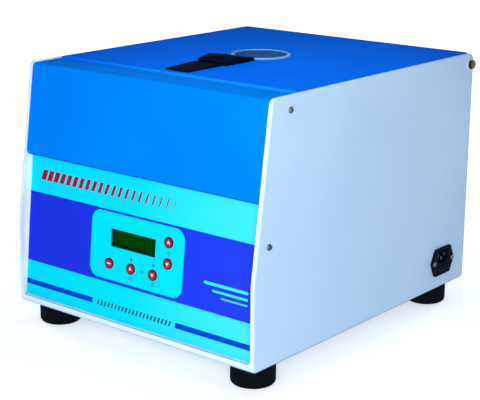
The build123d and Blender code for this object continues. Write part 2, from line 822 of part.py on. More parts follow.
with BuildPart() as lcd_module:
    with BuildSketch(lcd_board_face):
        with Locations((display_x, display_height)):
            Rectangle(lcd_board_width, lcd_board_height)
            with GridLocations(lcd_hole_x, lcd_hole_y, 2, 2):
                Circle(lcd_hole_radius, mode=Mode.SUBTRACT)
    extrude(amount=-board_sheet)
    with BuildSketch(lcd_board_face):
        with Locations((display_x, display_height)):
            RectangleRounded(lcd_bezel_width, lcd_bezel_height, lcd_bezel_corner)
    extrude(amount=lcd_bezel_thickness)
    # the glass lies a little below the metal frame
    with BuildSketch(lcd_face):
        with Locations((display_x, display_height)):
            Rectangle(display_width, display_depth)
    extrude(amount=-lcd_glass_recess, mode=Mode.SUBTRACT)
lcd_module.part.label = "lcd_module"
export_step(lcd_module.part, "parts/lcd_module.step")

with BuildPart() as control_board:
    with BuildSketch(board_face):
        with Locations(board_middle):
            RectangleRounded(control_board_width, control_board_height, control_board_corner)
            with GridLocations(control_board_hole_x, control_board_hole_y, 2, 2):
                Circle(board_hole_radius, mode=Mode.SUBTRACT)
    extrude(amount=-board_sheet)
    # push switches behind the keys
    with BuildSketch(board_face):
        with Locations(*key_spots):
            Rectangle(switch_width, switch_width)
    extrude(amount=switch_height)
    with BuildSketch(board_face):
        with Locations(*key_spots):
            Circle(switch_plunger_radius)
    extrude(amount=switch_plunger_reach)
    # processor, relay and plug on the board's back
    with BuildSketch(board_face.offset(-board_sheet)):
        with Locations(processor_place):
            Rectangle(processor_width, processor_height)
    extrude(amount=-processor_thickness)
    with BuildSketch(board_face.offset(-board_sheet)):
        with Locations(relay_place):
            Rectangle(relay_width, relay_height)
        with Locations(plug_place):
            Rectangle(plug_width, plug_height)
    extrude(amount=-relay_thickness)
control_board.part.label = "control_board"
export_step(control_board.part, "parts/control_board.step")

# Keys
panel_axis = Axis(panel_plane.origin, panel_plane.z_dir)
for key_name, key_spot in key_places.items():
    with BuildPart() as key:
        with BuildSketch(panel_plane.offset(key_lift)):
            with Locations(key_spot):
                Circle(key_radius)
        extrude(amount=key_cap_thickness)
        chamfer(key.edges().sort_by(panel_axis)[-1], length=key_cap_edge)
        with BuildSketch(panel_plane.offset(key_lift)):
            with Locations(key_spot):
                Circle(key_stem_radius)
        extrude(amount=-key_stem_length)
        # clip that stops the key from falling out to the front
        with BuildSketch(panel_back.offset(-key_travel - key_gap)):
            with Locations(key_spot):
                Circle(key_stem_radius + 2 * key_gap)
        extrude(amount=-key_clip_thickness)
    key.part.label = key_name
    export_step(key.part, f"parts/{key_name}.step")

# Drive board on the floor, and board spacers
drive_board_z = floor_z + cabinet_sheet + drive_board_lift
drive_board_top_z = drive_board_z + board_sheet
drive_hole_x = drive_board_width - 2 * drive_hole_inset
drive_hole_y = drive_board_length - 2 * drive_hole_inset
with BuildPart() as drive_board:
    with BuildSketch(Plane.XY.offset(drive_board_z)):
        with Locations((drive_board_x, drive_board_y)):
            Rectangle(drive_board_width, drive_board_length)
            with GridLocations(drive_hole_x, drive_hole_y, 2, 2):
                Circle(board_hole_radius, mode=Mode.SUBTRACT)
    extrude(amount=board_sheet)
    # cooling block with fins
    with BuildSketch(Plane.XY.offset(drive_board_top_z)):
        with Locations((drive_board_x - cooler_inset, drive_board_y)):
            Rectangle(cooler_width, cooler_length)
    extrude(amount=cooler_height)
    with BuildSketch(Plane.XY.offset(drive_board_top_z + cooler_height)):
        with Locations((drive_board_x - cooler_inset, drive_board_y)):
            with GridLocations(cooler_gap_pitch, 0, cooler_gap_count, 1):
                Rectangle(cooler_gap_width, cooler_length)
    extrude(amount=cooler_base - cooler_height, mode=Mode.SUBTRACT)
    # capacitors
    with BuildSketch(Plane.XY.offset(drive_board_top_z)):
        with Locations((drive_board_x + capacitor_inset, drive_board_y)):
            with GridLocations(0, capacitor_pitch, 1, 2):
                Circle(capacitor_radius)
    extrude(amount=capacitor_height)
    # small transformer and the terminal strip
    with BuildSketch(Plane.XY.offset(drive_board_top_z)):
        with Locations((drive_board_x + transformer_inset_x, drive_board_y + transformer_inset_y)):
            Rectangle(transformer_width, transformer_length)
    extrude(amount=transformer_height)
    with BuildSketch(Plane.XY.offset(drive_board_top_z)):
        with Locations((drive_board_x, drive_board_y - terminal_inset)):
            Rectangle(terminal_width, terminal_length)
    extrude(amount=terminal_height)
drive_board.part.label = "drive_board"
export_step(drive_board.part, "parts/drive_board.step")

with BuildPart() as board_spacers:
    with BuildSketch(board_face):
        with Locations(board_middle):
            with GridLocations(control_board_hole_x, control_board_hole_y, 2, 2):
                Circle(spacer_radius)
    extrude(amount=control_board_setback - overlay_thickness - panel_sheet)
    with BuildSketch(board_face):
        with Locations((display_x, display_height)):
            with GridLocations(lcd_hole_x, lcd_hole_y, 2, 2):
                Circle(lcd_spacer_radius)
    extrude(amount=lcd_standoff)
    with BuildSketch(Plane.XY.offset(floor_z + cabinet_sheet)):
        with Locations((drive_board_x, drive_board_y)):
            with GridLocations(drive_hole_x, drive_hole_y, 2, 2):
                Circle(spacer_radius)
    extrude(amount=drive_board_lift)
board_spacers.part.label = "board_spacers"
export_step(board_spacers.part, "parts/board_spacers.step")

# Deck under the lid, its screws, and the bowl
with BuildPart() as chamber_deck:
    with BuildSketch(Plane.XY.offset(deck_top_z)):
        with Locations((0, (deck_front_y + deck_rear_y) / 2)):
            Rectangle(2 * (inner_x - deck_side_gap), deck_rear_y - deck_front_y)
        with Locations((0, spindle_y)):
            Circle(bowl_radius + bowl_sheet + deck_hole_clearance, mode=Mode.SUBTRACT)
        with Locations(*deck_tab_spots):
            Circle(screw_radius + hole_clearance, mode=Mode.SUBTRACT)
    extrude(amount=-deck_sheet)
    with BuildSketch(Plane.YZ):
        with Locations((deck_rear_y - deck_sheet / 2, (deck_top_z + rear_top_z) / 2)):
            Rectangle(deck_sheet, deck_top_z - rear_top_z)
    extrude(amount=inner_x - deck_tab_width - sheet_clearance, both=True)
chamber_deck.part.label = "chamber_deck"
export_step(chamber_deck.part, "parts/chamber_deck.step")

with BuildPart() as deck_screws:
    with Locations(*[(x, y, deck_top_z) for x, y in deck_tab_spots]):
        add(case_screw)
deck_screws.part.label = "deck_screws"
export_step(deck_screws.part, "parts/deck_screws.step")

bowl_outer_radius = bowl_radius + bowl_sheet
bowl_rim_radius = bowl_outer_radius + bowl_rim_width
with BuildPart() as bowl:
    with BuildSketch(spindle_plane) as bowl_section:
        with BuildLine():
            Polyline(
                (bowl_eye_radius, bowl_floor_top),
                (bowl_radius, bowl_floor_top),
                (bowl_radius, deck_top_z + bowl_sheet),
                (bowl_rim_radius, deck_top_z + bowl_sheet),
                (bowl_rim_radius, deck_top_z),
                (bowl_outer_radius, deck_top_z),
                (bowl_outer_radius, bowl_floor_z),
                (bowl_eye_radius, bowl_floor_z),
                close=True,
            )
        make_face()
        inner_corner = bowl_section.vertices().sort_by_distance((bowl_radius, bowl_floor_top))[0]
        fillet(inner_corner, radius=bowl_corner_radius)
        outer_corner = bowl_section.vertices().sort_by_distance((bowl_outer_radius, bowl_floor_z))[0]
        fillet(outer_corner, radius=bowl_corner_radius + bowl_sheet)
    revolve(axis=spindle_axis)
bowl.part.label = "bowl"
export_step(bowl.part, "parts/bowl.step")

gasket_foot_z = deck_top_z + bowl_sheet
with BuildPart() as bowl_gasket:
    with BuildSketch(spindle_plane):
        with Locations((bowl_outer_radius + bowl_rim_width / 2, gasket_foot_z + gasket_thickness / 2)):
            Rectangle(gasket_width, gasket_thickness)
    revolve(axis=spindle_axis)
bowl_gasket.part.label = "bowl_gasket"
export_step(bowl_gasket.part, "parts/bowl_gasket.step")

with BuildPart() as shaft_seal:
    with BuildSketch(spindle_plane):
        with BuildLine():
            Polyline(
                (shaft_radius + seal_gap, bowl_floor_z - seal_lip),
                (bowl_eye_radius + seal_lap, bowl_floor_z - seal_lip),
                (bowl_eye_radius + seal_lap, bowl_floor_z),
                (bowl_eye_radius, bowl_floor_z),
                (bowl_eye_radius, bowl_floor_top),
                (bowl_eye_radius + seal_lap, bowl_floor_top),
                (bowl_eye_radius + seal_lap, bowl_floor_top + seal_lip),
                (shaft_radius + seal_gap + 3 * seal_lip, bowl_floor_top + seal_lip),
                (shaft_radius + seal_gap + seal_lip, bowl_floor_top + 3 * seal_lip),
                (shaft_radius + seal_gap, bowl_floor_top + 3 * seal_lip),
                close=True,
            )
        make_face()
    revolve(axis=spindle_axis)
shaft_seal.part.label = "shaft_seal"
export_step(shaft_seal.part, "parts/shaft_seal.step")

# Motor on its plate and isolators
plate_z = floor_z + cabinet_sheet + isolator_height
motor_spots = [
    (x, spindle_y + y)
    for y in (-motor_hole_spacing / 2, motor_hole_spacing / 2)
    for x in (-motor_hole_spacing / 2, motor_hole_spacing / 2)
]
with BuildPart() as motor_isolators:
    with BuildSketch(Plane.XZ):
        with BuildLine():
            Polyline(
                (motor_bolt_radius, 0),
                (isolator_radius, 0),
                (isolator_radius, isolator_height * 0.2),
                (isolator_radius - isolator_waist, isolator_height * 0.5),
                (isolator_radius, isolator_height * 0.8),
                (isolator_radius, isolator_height),
                (motor_bolt_radius, isolator_height),
                close=True,
            )
        make_face()
    isolator = revolve(axis=Axis.Z, mode=Mode.PRIVATE)
    with Locations(*[(x, y, floor_z + cabinet_sheet) for x, y in motor_spots]):
        add(isolator)
motor_isolators.part.label = "motor_isolators"
export_step(motor_isolators.part, "parts/motor_isolators.step")

with BuildPart() as motor_plate:
    with BuildSketch(Plane.XY.offset(plate_z)):
        with Locations((0, spindle_y)):
            RectangleRounded(motor_plate_size, motor_plate_size, motor_plate_corner)
        with Locations(*motor_spots):
            Circle(motor_bolt_radius + hole_clearance, mode=Mode.SUBTRACT)
    extrude(amount=motor_plate_thickness)
motor_plate.part.label = "motor_plate"
export_step(motor_plate.part, "parts/motor_plate.step")

with BuildPart() as motor_bolts:
    with BuildSketch(Plane.XY.offset(floor_z - motor_bolt_nut)):
        with Locations(*motor_spots):
            RegularPolygon(radius=motor_bolt_flats / 2, side_count=6, major_radius=False)
    extrude(amount=motor_bolt_nut)
    with BuildSketch(Plane.XY.offset(floor_z - motor_bolt_nut - motor_bolt_tail)):
        with Locations(*motor_spots):
            Circle(motor_bolt_radius)
    extrude(amount=motor_foot_z - floor_z + motor_bolt_nut + motor_bolt_tail)
    with BuildSketch(Plane.XY.offset(motor_foot_z)):
        with Locations(*motor_spots):
            RegularPolygon(radius=motor_bolt_flats / 2, side_count=6, major_radius=False)
    extrude(amount=motor_bolt_head)
motor_bolts.part.label = "motor_bolts"
export_step(motor_bolts.part, "parts/motor_bolts.step")

with BuildPart() as motor:
    with BuildSketch(spindle_plane):
        with BuildLine():
            Polyline(
                (0, motor_foot_z),
                (motor_radius, motor_foot_z),
                (motor_radius, motor_foot_z + motor_end_height),
                (motor_radius - motor_fin_depth, motor_foot_z + motor_end_height),
                (motor_radius - motor_fin_depth, motor_top_z - motor_end_height),
                (motor_radius, motor_top_z - motor_end_height),
                (motor_radius, motor_top_z - motor_edge),
                (motor_radius - motor_edge, motor_top_z),
                (motor_boss_radius, motor_top_z),
                (motor_boss_radius, motor_top_z + motor_boss_height),
                (0, motor_top_z + motor_boss_height),
                close=True,
            )
        make_face()
    revolve(axis=spindle_axis)
    with BuildSketch(Plane.XY.offset(motor_foot_z + motor_end_height)):
        with Locations((0, spindle_y)):
            with PolarLocations(motor_radius - motor_fin_depth, motor_fin_count):
                Rectangle(2 * motor_fin_depth, motor_fin_width)
    extrude(amount=motor_height - 2 * motor_end_height)
    # bearing bore, closed at the bottom
    with BuildSketch(Plane.XY.offset(motor_top_z + motor_boss_height)):
        with Locations((0, spindle_y)):
            Circle(shaft_radius + shaft_bore_clearance)
    extrude(amount=-motor_bore_depth, mode=Mode.SUBTRACT)
motor.part.label = "motor"
export_step(motor.part, "parts/motor.step")

# Rotor: shaft, eight-cup head, nut and cups
shaft_foot_z = motor_top_z + motor_boss_height - motor_bore_depth + shaft_end_gap
hub_foot_z = hub_top_z - hub_height
with BuildPart() as motor_shaft:
    with BuildSketch(spindle_plane):
        with BuildLine():
            Polyline(
                (0, shaft_foot_z),
                (shaft_radius, shaft_foot_z),
                (shaft_radius, hub_foot_z - shaft_collar_height),
                (shaft_collar_radius, hub_foot_z - shaft_collar_height),
                (shaft_collar_radius, hub_foot_z),
                (shaft_radius, hub_foot_z),
                (shaft_radius, hub_top_z),
                (shaft_thread_radius, hub_top_z),
                (shaft_thread_radius, hub_top_z + nut_height - nut_cap),
                (0, hub_top_z + nut_height - nut_cap),
                close=True,
            )
        make_face()
    revolve(axis=spindle_axis)
motor_shaft.part.label = "motor_shaft"
export_step(motor_shaft.part, "parts/motor_shaft.step")


def dish_height(radius, depth):
    """Height of the dish at a radius, at a depth under the cups' seating level along a cup's axis."""
    return seat_z - depth / cup_tilt_cos + (radius - seat_radius) * cup_tilt_tan


dish_top = boss_proud
dish_under = boss_proud + dish_thickness
dish_inner_radius = shaft_radius + dish_lap
dish_lip_radius = dish_outer_radius - dish_thickness
with BuildPart() as rotor_head:
    # hub
    with BuildSketch(Plane.XY.offset(hub_foot_z)):
        with Locations((0, spindle_y)):
            Circle(hub_radius)
    extrude(amount=hub_height)
    # conical dish with a turned-down rim, square to the cups' axes
    with BuildSketch(spindle_plane):
        with BuildLine():
            Polyline(
                (dish_inner_radius, dish_height(dish_inner_radius, dish_top)),
                (dish_outer_radius, dish_height(dish_outer_radius, dish_top)),
                (dish_outer_radius, dish_height(dish_outer_radius, dish_top) - dish_rim_drop),
                (dish_lip_radius, dish_height(dish_outer_radius, dish_top) - dish_rim_drop),
                (dish_lip_radius, dish_height(dish_lip_radius, dish_under)),
                (dish_inner_radius, dish_height(dish_inner_radius, dish_under)),
                close=True,
            )
        make_face()
    revolve(axis=spindle_axis)
    # gussets between the bosses
    for index in range(cup_count):
        with BuildSketch(radial_plane(360 / cup_count * (index + 0.5))):
            with BuildLine():
                Polyline(
                    (dish_inner_radius, hub_foot_z + gusset_thickness),
                    (gusset_reach, dish_height(gusset_reach, dish_under) - gusset_thickness),
                    (gusset_reach, dish_height(gusset_reach, dish_under) + 1.0),
                    (dish_inner_radius, dish_height(dish_inner_radius, dish_under) + 1.0),
                    close=True,
                )
            make_face()
        extrude(amount=gusset_thickness / 2, both=True)
    # a boss round each cup
    for index in range(cup_count):
        with BuildSketch(cup_plane(index).offset(cup_seat)):
            Circle(boss_radius)
        extrude(amount=-boss_length)
    fillet(rotor_head.edges().filter_by(GeomType.CIRCLE).sort_by(Axis.Z)[-1], radius=1.0)
    # through holes for the shaft and the cups
    with BuildSketch(Plane.XY.offset(hub_foot_z)):
        with Locations((0, spindle_y)):
            Circle(shaft_radius)
    extrude(amount=hub_height, mode=Mode.SUBTRACT)
    for index in range(cup_count):
        with BuildSketch(cup_plane(index).offset(cup_seat)):
            Circle(cup_outer_radius + cup_seat_clearance)
        extrude(amount=-cup_length, mode=Mode.SUBTRACT)
rotor_head.part.label = "rotor_head"
export_step(rotor_head.part, "parts/rotor_head.step")

with BuildPart() as rotor_nut:
    with BuildSketch(Plane.XY.offset(hub_top_z)):
        with Locations((0, spindle_y)):
            Circle(nut_radius)
            with PolarLocations(nut_radius + nut_flute_radius * 0.4, nut_flute_count):
                Circle(nut_flute_radius, mode=Mode.SUBTRACT)
    extrude(amount=nut_height)
    with BuildSketch(Plane.XY.offset(hub_top_z)):
        with Locations((0, spindle_y)):
            Circle(shaft_thread_radius)
    extrude(amount=nut_height - nut_cap, mode=Mode.SUBTRACT)
rotor_nut.part.label = "rotor_nut"
export_step(rotor_nut.part, "parts/rotor_nut.step")

for index in range(cup_count):
    with BuildPart() as cup:
        with BuildSketch(cup_plane(index)):
            Circle(cup_outer_radius)
        extrude(amount=cup_length)
        cup_axis = Axis(cup_plane(index).origin, cup_plane(index).z_dir)
        chamfer(cup.edges().sort_by(cup_axis)[0], length=cup_foot_chamfer)
        with BuildSketch(cup_plane(index).offset(cup_seat)):
            Circle(cup_rim_radius)
        extrude(amount=cup_rim_height)
        with BuildSketch(cup_plane(index).offset(cup_floor + cushion_thickness)):
            Circle(cup_bore_radius)
        extrude(amount=cup_length, mode=Mode.SUBTRACT)
        # narrower pocket that keeps the cushion in
        with BuildSketch(cup_plane(index).offset(cup_floor)):
            Circle(cushion_radius)
        extrude(amount=cushion_thickness, mode=Mode.SUBTRACT)
    cup.part.label = f"cup_{index + 1}"
    export_step(cup.part, f"parts/cup_{index + 1}.step")

with BuildPart() as cup_cushions:
    for index in range(cup_count):
        with BuildSketch(cup_plane(index).offset(cup_floor)):
            Circle(cushion_radius)
        extrude(amount=cushion_thickness)
cup_cushions.part.label = "cup_cushions"
export_step(cup_cushions.part, "parts/cup_cushions.step")

# Lid and its liner
ear_turn = acos((hinge_z - lid_bottom_z) / hinge_ear_radius)
ear_meet = (hinge_y - hinge_ear_radius * sin(ear_turn), lid_bottom_z)
ear_middle = (
    hinge_y - hinge_ear_radius * sin(ear_turn / 2),
    hinge_z - hinge_ear_radius * cos(ear_turn / 2),
)
lid_inner_x = lid_half_width - lid_sheet
latch_slot_front = latch_stem_y - latch_stem_length / 2 - latch_travel - latch_stem_gap
latch_slot_rear = latch_stem_y + latch_stem_length / 2 + latch_stem_gap
latch_slot_middle = (latch_slot_front + latch_slot_rear) / 2
latch_slot_length = latch_slot_rear - latch_slot_front
latch_slot_width = 2 * (latch_stem_half_width + latch_stem_gap)
bolt_front_y = lid_front_y + lid_sheet + latch_bolt_nose_gap

with BuildPart() as lid_panel:
    with BuildSketch(Plane.YZ) as lid_section:
        with BuildLine():
            Polyline(
                ear_meet,
                (lid_front_y, lid_bottom_z),
                (lid_front_y, lid_top_z),
                (rear_y, lid_top_z),
                (rear_y, hinge_z - lid_skirt_drop),
                (rear_y - lid_sheet, hinge_z - lid_skirt_drop),
                (rear_y - lid_sheet, hinge_z - hinge_ear_radius),
                (hinge_y, hinge_z - hinge_ear_radius),
            )
            ThreePointArc((hinge_y, hinge_z - hinge_ear_radius), ear_middle, ear_meet)
        make_face()
        fillet(lid_section.vertices().sort_by_distance((rear_y, lid_top_z))[0], radius=top_rear_radius)
    extrude(amount=lid_half_width, both=True)
    lid_top_edges = lid_panel.edges().group_by(Axis.Z)[-1].sort_by(Axis.Y)
    fillet(lid_top_edges[0:3], radius=lid_fold_radius)
    # hollow from below
    with BuildSketch(Plane.YZ) as hollow_section:
        with BuildLine():
            Polyline(
                (lid_front_y + lid_sheet, hinge_z - lid_depth),
                (lid_front_y + lid_sheet, lid_top_z - lid_sheet),
                (rear_y - lid_sheet, lid_top_z - lid_sheet),
                (rear_y - lid_sheet, hinge_z - lid_depth),
                close=True,
            )
        make_face()
        hollow_corner = hollow_section.vertices().sort_by_distance((rear_y, lid_top_z))[0]
        fillet(hollow_corner, radius=top_rear_radius - lid_sheet)
    extrude(amount=lid_inner_x, both=True, mode=Mode.SUBTRACT)
    # holes for the window and the latch's stem
    with BuildSketch(Plane.XY.offset(lid_top_z)):
        with Locations((0, spindle_y)):
            Circle(window_ring_radius - window_ring_lap)
        with Locations((0, latch_slot_middle)):
            Rectangle(latch_slot_width, latch_slot_length)
        with Locations(*[(0, y) for y in latch_screw_spots]):
            Circle(latch_screw_radius)
    extrude(amount=-lid_sheet, mode=Mode.SUBTRACT)
    # slot in the front skirt for the bolt
    with BuildSketch(Plane.XZ.offset(-lid_front_y)):
        with Locations((0, bolt_middle_z)):
            RectangleRounded(
                2 * (latch_bolt_half_width + sheet_clearance),
                latch_bolt_thickness + 2 * sheet_clearance,
                sheet_clearance,
            )
    extrude(amount=-lid_sheet, mode=Mode.SUBTRACT)
    # hinge holes in the ears
    with BuildSketch(Plane.YZ):
        with Locations((hinge_y, hinge_z)):
            Circle(hinge_bolt_radius + hinge_running_clearance)
    extrude(amount=side_x, both=True, mode=Mode.SUBTRACT)
lid_panel.part.label = "lid_panel"
export_step(lid_panel.part, "parts/lid_panel.step")

liner_half_width = lid_inner_x - sheet_clearance / 2
liner_front_y = lid_front_y + lid_sheet + sheet_clearance / 2
liner_middle_y = (liner_front_y + liner_rear_y) / 2
collar_inner_radius = window_ring_radius - window_ring_lap + window_collar_gap
with BuildPart() as lid_liner:
    with BuildSketch(Plane.XY.offset(lid_bottom_z)):
        with Locations((0, liner_middle_y)):
            Rectangle(2 * liner_half_width, liner_rear_y - liner_front_y)
    extrude(amount=liner_flange)
    with BuildSketch(Plane.XY.offset(lid_bottom_z + liner_sheet)):
        with Locations((0, liner_middle_y)):
            Rectangle(2 * (liner_half_width - liner_sheet), liner_rear_y - liner_front_y - 2 * liner_sheet)
    extrude(amount=liner_flange, mode=Mode.SUBTRACT)
    # collar round the window, up to the lid's underside
    with BuildSketch(Plane.XY.offset(lid_bottom_z)):
        with Locations((0, spindle_y)):
            Circle(collar_inner_radius + liner_sheet)
    extrude(amount=lid_depth - lid_sheet)
    with BuildSketch(Plane.XY.offset(lid_bottom_z)):
        with Locations((0, spindle_y)):
            Circle(collar_inner_radius)
    extrude(amount=lid_depth, mode=Mode.SUBTRACT)
lid_liner.part.label = "lid_liner"
export_step(lid_liner.part, "parts/lid_liner.step")

# Window in the lid
window_seat_z = lid_top_z + window_ring_height - window_proud - window_thickness
window_neck_radius = window_radius + window_fit + window_ring_wall
with BuildPart() as window_ring:
    with BuildSketch(spindle_plane) as ring_section:
        with BuildLine():
            Polyline(
                (window_radius - window_ledge, window_seat_z - window_ring_foot),
                (window_neck_radius, window_seat_z - window_ring_foot),
                (window_neck_radius, lid_top_z),
                (window_ring_radius, lid_top_z),
                (window_ring_radius, lid_top_z + window_ring_height),
                (window_radius + window_fit, lid_top_z + window_ring_height),
                (window_radius + window_fit, window_seat_z),
                (window_radius - window_ledge, window_seat_z),
                close=True,
            )
        make_face()
        ring_edge = (window_ring_radius, lid_top_z + window_ring_height)
        chamfer(ring_section.vertices().sort_by_distance(ring_edge)[0], length=window_ring_edge)
    revolve(axis=spindle_axis)
window_ring.part.label = "window_ring"
export_step(window_ring.part, "parts/window_ring.step")

with BuildPart() as lid_window:
    with BuildSketch(Plane.XY.offset(window_seat_z)):
        with Locations((0, spindle_y)):
            Circle(window_radius)
    extrude(amount=window_thickness)
    chamfer(lid_window.edges().sort_by(Axis.Z)[-1], length=window_edge)
lid_window.part.label = "lid_window"
export_step(lid_window.part, "parts/lid_window.step")

# Sliding latch
with BuildPart() as latch_base:
    with BuildSketch(Plane.YZ):
        with BuildLine():
            Polyline(
                (latch_base_front_y, lid_top_z),
                (latch_base_front_y, lid_top_z + latch_nose_height),
                (latch_wedge_rear_y, lid_top_z + latch_wedge_height),
                (latch_wedge_rear_y, lid_top_z + latch_rail_height),
                (latch_base_rear_y, lid_top_z + latch_rail_height),
                (latch_base_rear_y, lid_top_z),
                close=True,
            )
        make_face()
    extrude(amount=latch_base_half_width, both=True)
    fillet(latch_base.edges().filter_by(Axis.Z), radius=latch_base_corner)
    with BuildSketch(Plane.XY.offset(lid_top_z)):
        with Locations((0, latch_slot_middle)):
            Rectangle(latch_slot_width, latch_slot_length)
    extrude(amount=latch_wedge_height, mode=Mode.SUBTRACT)
    with BuildSketch(Plane.XY.offset(lid_top_z)):
        with Locations(*[(0, y) for y in latch_screw_spots]):
            Circle(latch_screw_radius)
    extrude(amount=latch_screw_length - lid_sheet, mode=Mode.SUBTRACT)
latch_base.part.label = "latch_base"
export_step(latch_base.part, "parts/latch_base.step")

latch_screw = pan_screw(latch_screw_radius, latch_screw_length, screw_head_radius, latch_screw_head)
with BuildPart() as latch_screws:
    with Locations(*[Plane(origin=(0, y, lid_top_z - lid_sheet), z_dir=(0, 0, -1)) for y in latch_screw_spots]):
        add(latch_screw)
latch_screws.part.label = "latch_screws"
export_step(latch_screws.part, "parts/latch_screws.step")

with BuildPart() as latch_grip:
    with BuildSketch(Plane.YZ) as grip_section:
        with BuildLine():
            Polyline(
                (latch_grip_front_y, lid_top_z + latch_clearance),
                (latch_grip_front_y, lid_top_z + latch_grip_front_height),
                (latch_grip_peak_y, lid_top_z + latch_grip_height),
                (latch_grip_rear_y, lid_top_z + latch_grip_rear_height),
                (latch_grip_rear_y, lid_top_z + latch_clearance),
                close=True,
            )
        make_face()
        peak = (latch_grip_peak_y, lid_top_z + latch_grip_height)
        fillet(grip_section.vertices().sort_by_distance(peak)[0], radius=latch_peak_radius)
    extrude(amount=latch_grip_half_width, both=True)
    fillet(latch_grip.edges().filter_by(Axis.Z), radius=latch_grip_corner)
    # channel that rides over the rail
    with BuildSketch(Plane.XY.offset(lid_top_z)):
        with Locations((0, latch_grip_peak_y)):
            Rectangle(2 * (latch_base_half_width + latch_clearance), 2 * latch_grip_half_width + body_depth)
    extrude(amount=latch_rail_height + latch_clearance, mode=Mode.SUBTRACT)
    # stem down to the bolt
    with BuildSketch(Plane.XY.offset(bolt_top_z)):
        with Locations((0, latch_stem_y)):
            Rectangle(2 * latch_stem_half_width, latch_stem_length)
    extrude(amount=latch_bolt_top + latch_rail_height + 2 * latch_clearance)
latch_grip.part.label = "latch_grip"
export_step(latch_grip.part, "parts/latch_grip.step")

with BuildPart() as latch_bolt:
    with BuildSketch(Plane.XY.offset(bolt_top_z)):
        with Locations((0, (bolt_front_y + latch_bolt_rear_y) / 2)):
            RectangleRounded(2 * latch_bolt_half_width, latch_bolt_rear_y - bolt_front_y, latch_bolt_corner)
    extrude(amount=-latch_bolt_thickness)
    chamfer(latch_bolt.faces().sort_by(Axis.Y)[0].edges().filter_by(Axis.X), length=latch_bolt_edge)
latch_bolt.part.label = "latch_bolt"
export_step(latch_bolt.part, "parts/latch_bolt.step")

guide_inner_x = latch_bolt_half_width + latch_clearance
guide_outer_x = guide_inner_x + latch_guide_sheet
guide_foot_z = bolt_top_z - latch_bolt_thickness - latch_clearance - latch_guide_sheet
lid_underside_z = lid_top_z - lid_sheet
with BuildPart() as bolt_guide:
    with BuildSketch(Plane.XZ):
        with BuildLine():
            Polyline(
                (-guide_outer_x - latch_guide_foot, lid_underside_z),
                (-guide_inner_x, lid_underside_z),
                (-guide_inner_x, guide_foot_z + latch_guide_sheet),
                (guide_inner_x, guide_foot_z + latch_guide_sheet),
                (guide_inner_x, lid_underside_z),
                (guide_outer_x + latch_guide_foot, lid_underside_z),
                (guide_outer_x + latch_guide_foot, lid_underside_z - latch_guide_sheet),
                (guide_outer_x, lid_underside_z - latch_guide_sheet),
                (guide_outer_x, guide_foot_z),
                (-guide_outer_x, guide_foot_z),
                (-guide_outer_x, lid_underside_z - latch_guide_sheet),
                (-guide_outer_x - latch_guide_foot, lid_underside_z - latch_guide_sheet),
                close=True,
            )
        make_face()
    guide_strap = extrude(amount=latch_guide_width / 2, both=True, mode=Mode.PRIVATE)
    with Locations(*[(0, y, 0) for y in latch_guide_spots]):
        add(guide_strap)
bolt_guide.part.label = "bolt_guide"
export_step(bolt_guide.part, "parts/bolt_guide.step")

# Lid sensor and its magnet
with BuildPart() as lid_sensor:
    with BuildSketch(Plane.XY.offset(deck_top_z - deck_sheet)):
        with Locations((sensor_x, sensor_y)):
            RectangleRounded(sensor_length, sensor_height, sensor_corner)
    extrude(amount=-sensor_thickness)
lid_sensor.part.label = "lid_sensor"
export_step(lid_sensor.part, "parts/lid_sensor.step")

with BuildPart() as sensor_magnet:
    with BuildSketch(Plane.XY.offset(lid_bottom_z + liner_sheet)):
        with Locations((sensor_x, sensor_y)):
            RectangleRounded(magnet_length, sensor_height, sensor_corner)
    extrude(amount=magnet_thickness)
sensor_magnet.part.label = "sensor_magnet"
export_step(sensor_magnet.part, "parts/sensor_magnet.step")

# Hinges
hinge_tip_x = lid_inner_x - hinge_axial_gap - hinge_nut_thickness - hinge_bolt_tail
with BuildPart() as hinge_bolts:
    for sign in (-1, 1):
        with BuildSketch(side_plane(sign).offset(hinge_washer_thickness)):
            with Locations((sign * hinge_y, hinge_z)):
                RegularPolygon(radius=hinge_head_flats / 2, side_count=6, major_radius=False)
        extrude(amount=hinge_head_height)
        with BuildSketch(side_plane(sign).offset(hinge_washer_thickness)):
            with Locations((sign * hinge_y, hinge_z)):
                Circle(hinge_bolt_radius)
        extrude(amount=hinge_tip_x - side_x - hinge_washer_thickness)
hinge_bolts.part.label = "hinge_bolts"
export_step(hinge_bolts.part, "parts/hinge_bolts.step")

with BuildPart() as hinge_washers:
    for sign in (-1, 1):
        with BuildSketch(side_plane(sign)):
            with Locations((sign * hinge_y, hinge_z)):
                Circle(hinge_washer_radius)
                Circle(hinge_bolt_radius, mode=Mode.SUBTRACT)
        extrude(amount=hinge_washer_thickness)
hinge_washers.part.label = "hinge_washers"
export_step(hinge_washers.part, "parts/hinge_washers.step")

with BuildPart() as hinge_spacers:
    for sign in (-1, 1):
        with BuildSketch(side_plane(sign).offset(-cabinet_sheet)):
            with Locations((sign * hinge_y, hinge_z)):
                Circle(hinge_spacer_radius)
                Circle(hinge_bolt_radius, mode=Mode.SUBTRACT)
        extrude(amount=lid_half_width + hinge_axial_gap - inner_x)
hinge_spacers.part.label = "hinge_spacers"
export_step(hinge_spacers.part, "parts/hinge_spacers.step")

with BuildPart() as hinge_nuts:
    for sign in (-1, 1):
        with BuildSketch(side_plane(sign).offset(lid_inner_x - hinge_axial_gap - side_x)):
            with Locations((sign * hinge_y, hinge_z)):
                RegularPolygon(radius=hinge_head_flats / 2, side_count=6, major_radius=False)
                Circle(hinge_bolt_radius, mode=Mode.SUBTRACT)
        extrude(amount=-hinge_nut_thickness)
hinge_nuts.part.label = "hinge_nuts"
export_step(hinge_nuts.part, "parts/hinge_nuts.step")

